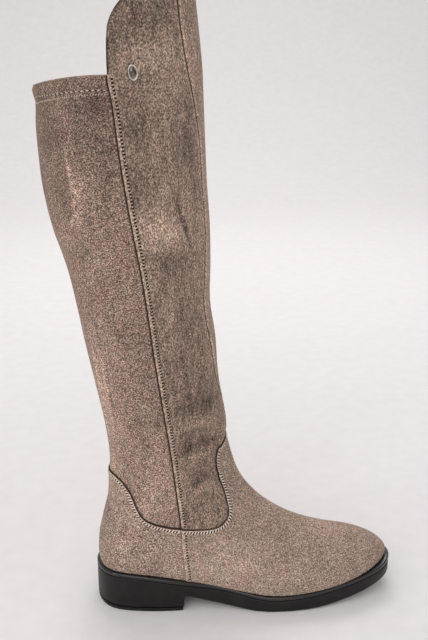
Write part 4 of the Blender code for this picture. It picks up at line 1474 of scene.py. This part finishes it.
@dataclass
class Badge:
    """Plain oval ornament on the wing: a rounded rim around a dark field with a low dome, and the rim's
    outer wall dark as painted shade.
    """
    rim: bpy.types.Material
    field_and_shade_finish: bpy.types.Material
    node: str = "badge"
    steps: int = 48
    outline: tuple[Pair, ...] = (
        (1.0, 0.0), (1.0, 0.55), (0.98, 0.80), (0.93, 0.96), (0.85, 1.0), (0.77, 0.96), (0.71, 0.80),
        (0.69, 0.5), (0.66, 0.40), (0.44, 0.38), (0.42, 0.44), (0.34, 0.62), (0.20, 0.74), (0.0, 0.78),
    )
    field_radius: float = 0.67
    outer_shade_ring: float = 0.90
    seat_rise: float = 0.1
    merge: float = 1e-5

    def frame_of_node(self) -> tuple[Vector, np.ndarray]:
        """Find where the CAD badge sits and how large it is.

        Returns:
            Middle of its seat, and its half width, half height and thickness along its own axes.
        """
        points = np.array([v.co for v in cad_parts[self.node].data.vertices])
        middle = (points.max(axis=0) + points.min(axis=0)) / 2.0
        axes = np.linalg.svd(points - points.mean(axis=0), full_matrices=False)[2]
        tall, wide, out = axes
        out = out if out[1] < 0.0 else -out
        wide = np.cross(tall, out)
        spans = [(points - middle) @ axis for axis in (wide, tall, out)]
        seat = middle + out * spans[2].min()
        half = [np.ptp(spans[0]) / 2.0, np.ptp(spans[1]) / 2.0, np.ptp(spans[2])]
        return Vector(seat), np.array([wide, tall, out]) * np.array(half)[:, None]

    def build(self) -> bpy.types.Object:
        """Spin the outline, stretch it to the oval and set it on its seat.

        Returns:
            The badge.
        """
        bm = bmesh.new()
        verts = [bm.verts.new((radius, 0.0, rise)) for radius, rise in self.outline]
        edges = [bm.edges.new(pair) for pair in zip(verts, verts[1:])]
        bmesh.ops.spin(bm, geom=verts + edges, axis=(0, 0, 1), cent=(0, 0, 0), angle=2.0 * math.pi,
                       steps=self.steps, use_merge=True)
        bmesh.ops.remove_doubles(bm, verts=bm.verts, dist=self.merge)
        bmesh.ops.holes_fill(bm, edges=[e for e in bm.edges if e.is_boundary], sides=0)
        bmesh.ops.recalc_face_normals(bm, faces=bm.faces)
        for face in bm.faces:
            middle = face.calc_center_median()
            radius = math.hypot(middle.x, middle.y)
            in_field = radius < self.field_radius and middle.z > self.seat_rise
            # The field takes the dark finish, and so does the rim's outer wall as painted shade
            face.material_index = int(in_field or radius > self.outer_shade_ring)
        seat, axes = self.frame_of_node()
        matrix = Matrix.Translation(seat) @ Matrix(axes.T.tolist()).to_4x4()
        bmesh.ops.transform(bm, matrix=matrix, verts=bm.verts)
        bmesh.ops.recalc_face_normals(bm, faces=bm.faces)
        badge = bpy.data.objects.new("wing_badge", mesh_from(bm, "wing_badge"))
        badge.data.materials.append(self.rim)
        badge.data.materials.append(self.field_and_shade_finish)
        badge.data.shade_smooth()
        return badge


@dataclass(frozen=True)
class SoftBox:
    """A rectangular studio lamp that looks at a point."""
    name: str
    place: Point
    target: Point
    size: Pair
    watts: float
    spread_deg: float = 180.0

    def build(self) -> None:
        """Hang the lamp and aim it."""
        lamp = bpy.data.lights.new(self.name, "AREA")
        lamp.shape = "RECTANGLE"
        lamp.size, lamp.size_y = self.size
        lamp.energy = self.watts
        lamp.spread = math.radians(self.spread_deg)
        holder = bpy.data.objects.new(self.name, lamp)
        holder.location = self.place
        aim = Vector(self.target) - Vector(self.place)
        holder.rotation_euler = aim.to_track_quat("-Z", "Y").to_euler()
        bpy.context.scene.collection.objects.link(holder)


@dataclass
class Studio:
    """Pale floor, soft lamps and the camera."""
    paper: bpy.types.Material
    camera_place: Point = (-0.0639, -0.7751, 0.505)
    camera_pitch_deg: float = 17.8
    camera_yaw_deg: float = -4.0
    lens_mm: float = 55.125
    sensor_mm: float = 36.0
    sight: float = 60.0
    paper_half: float = 7.0
    paper_front: float = 7.0
    paper_back: float = 1.7
    paper_curve: float = 1.3
    paper_top: float = 4.0
    curve_steps: int = 24
    ambient: str = "#f6f4f5"
    ambient_strength: float = 0.66
    lamps: tuple[SoftBox, ...] = (
        SoftBox("key_box", (-0.6, -1.8, 1.3), (-0.05, 0.0, 0.25), (1.9, 1.8), 16.5),
        SoftBox("fill_box", (1.2, -1.6, 1.1), (0.0, 0.0, 0.2), (1.6, 1.6), 1.2),
        SoftBox("paper_box", (0.1, 1.15, 1.5), (0.1, 1.15, 0.0), (1.2, 0.9), 11.2),
        SoftBox("rim_box", (-1.0, -0.55, 0.4), (-0.12, -0.03, 0.12), (0.1, 0.5), 0.06, 30.0),
    )

    def roll_paper(self) -> bpy.types.Object:
        """Roll out the paper: flat under the boot, then up behind it in one curve.

        Returns:
            The paper.
        """
        bm = bmesh.new()
        ends = [bm.verts.new((side * self.paper_half, -self.paper_front, 0.0)) for side in (-1.0, 1.0)]
        edge = bm.edges.new(ends)
        flat = bmesh.ops.extrude_edge_only(bm, edges=[edge])["geom"]
        far = [item for item in flat if isinstance(item, bmesh.types.BMVert)]
        bmesh.ops.translate(bm, verts=far, vec=(0.0, self.paper_front + self.paper_back, 0.0))
        turned = bmesh.ops.spin(bm, geom=far + [bm.edges.get(far)], axis=(1.0, 0.0, 0.0),
                                cent=(0.0, self.paper_back, self.paper_curve), angle=math.pi / 2.0,
                                steps=self.curve_steps)["geom_last"]
        last = [item for item in turned if isinstance(item, bmesh.types.BMEdge)]
        wall = bmesh.ops.extrude_edge_only(bm, edges=last)["geom"]
        top = [item for item in wall if isinstance(item, bmesh.types.BMVert)]
        bmesh.ops.translate(bm, verts=top, vec=(0.0, 0.0, self.paper_top))
        bmesh.ops.recalc_face_normals(bm, faces=bm.faces)
        for face in bm.faces:
            face.smooth = True
        paper = bpy.data.objects.new("paper_sweep", mesh_from(bm, "paper_sweep"))
        paper.data.materials.append(self.paper)
        return paper

    def build(self) -> None:
        """Set the camera, the light and the floor."""
        scene = bpy.context.scene
        scene.view_settings.view_transform = "Standard"
        camera = bpy.data.cameras.new("camera")
        camera.lens = self.lens_mm
        camera.sensor_width = self.sensor_mm
        camera.clip_end = self.sight
        holder = bpy.data.objects.new("camera", camera)
        holder.location = self.camera_place
        pitch, yaw = math.radians(90.0 - self.camera_pitch_deg), math.radians(self.camera_yaw_deg)
        holder.rotation_euler = (pitch, 0.0, yaw)
        scene.collection.objects.link(holder)
        scene.camera = holder

        world = bpy.data.worlds.new("studio")
        world.use_nodes = True
        background = world.node_tree.nodes["Background"]
        background.inputs["Color"].default_value = linear(self.ambient)
        background.inputs["Strength"].default_value = self.ambient_strength
        scene.world = world
        for lamp in self.lamps:
            lamp.build()

        paper = self.roll_paper()
        scene.collection.objects.link(paper)


def upper_finishes() -> dict[Panel, bpy.types.Material]:
    """Make the upper's materials.

    Returns:
        One material for each panel.
    """
    across = {"stroke_stretch": (0.6, 1.0, 0.8)}
    finishes = {
        Panel.BACK: Suede("stretch suede", "#463932", "#857166", "#cfb4a6", stroke_share=0.4),
        Panel.FRONT: Suede("brushed suede", "#584a41", "#88766a", "#c1aa9b", cloud_share=1.1,
                           stroke_share=1.0, grain_stretch=(1.0, 1.0, 0.7)),
        Panel.COUNTER: Suede("counter suede", "#51443d", "#937f74", "#dec5b5", cloud_share=0.8, **across),
        Panel.VAMP: Suede("vamp suede", "#62554c", "#958276", "#ccb6a7", stroke_share=0.4, **across),
        Panel.LINING: KnitLining(),
        Panel.EDGE: PaintedShadeFibre(),
    }
    return {panel: finish.build() for panel, finish in finishes.items()}


def sew_seams(upper: bpy.types.Object, lines: dict[str, list[SeamLine]]) -> None:
    """Sew the side and foot seams, the edge of counter and vamp, and the hem.

    Args:
        upper: The finished upper.
        lines: Its lines by name.
    """
    stitching = Stitching(upper)
    seams, edges = lines["side"] + lines["foot"], lines["vamp"] + lines["counter"]
    lockstitch = StitchRow(offset=3.0, pitch=2.7, length=1.3, width=1.1, height=1.0)
    ladder = StitchRow(offset=2.0, pitch=2.6, length=3.2, width=1.35, height=1.1, slant_deg=62.0)
    cover = StitchRow(offset=10.6, pitch=4.2, length=2.4, width=1.2, height=1.0)
    zigzag = StitchRow(offset=13.6, pitch=2.1, length=1.6, width=0.8, height=0.8, slant_deg=50.0)
    stitching.sew(seams, lockstitch)
    stitching.sew(lines["hem"], zigzag)
    stitching.sew(lines["hem"], cover)
    taupe = Thread("taupe thread", "#a08d7e", "#d8c7b9").build()
    place_piece(stitching.build("seam_thread", taupe), "suede")

    # Dark grains between the stitches: painted shade in the needle holes
    stitching.sew(seams, replace(lockstitch, length=1.8, width=2.1, height=0.9, phase=0.5))
    stitching.sew(edges, replace(ladder, length=2.9, width=1.3, height=0.9, phase=0.5))
    stitching.sew(lines["hem"], replace(cover, length=1.6, width=1.3, height=0.5, phase=0.6))
    hole = PaintedShadeFibre("needle holes", "#120c0a", "#2b211b").build()
    place_piece(stitching.build("needle_hole_shade", hole), "suede")

    stitching.sew(edges, ladder)
    pale = Thread("light thread", "#c6b5a6", "#f0e4d9").build()
    place_piece(stitching.build("edge_thread", pale), "suede")


def main() -> None:
    """Build the boot's pieces in order, then the studio."""
    logging.basicConfig(level=logging.INFO, format="%(name)s %(message)s")
    upper, lines = Upper(finishes=upper_finishes()).build()
    place_piece(upper, "suede", "upper")
    sew_seams(upper, lines)

    rubber = Rubber("moulded rubber", "#0d0b0b", "#211d1c", 0.42, specular=0.3).build()
    welt = Rubber("welt rubber", "#0c0b0b", "#1a1716", 0.26, coat=0.5).build()
    sock = KnitLining("sock lining", "#6d5a4d", "#a08a79", 1.2).build()
    Sole(rubber, welt, sock).build()

    bright = AgedNickel("aged nickel", "#b3a89c", "#ece2d8", 0.34).build()
    # Dark finish for the badge's field and, as painted shade, for the rim's outer wall
    dark_field_and_shade = AgedNickel("dark nickel", "#2a2420", "#9c9186", 0.38).build()
    place_piece(Badge(bright, dark_field_and_shade).build(), "badge_metal", "badge")

    Studio(StudioPaper().build()).build()


if __name__ == "__main__":
    main()
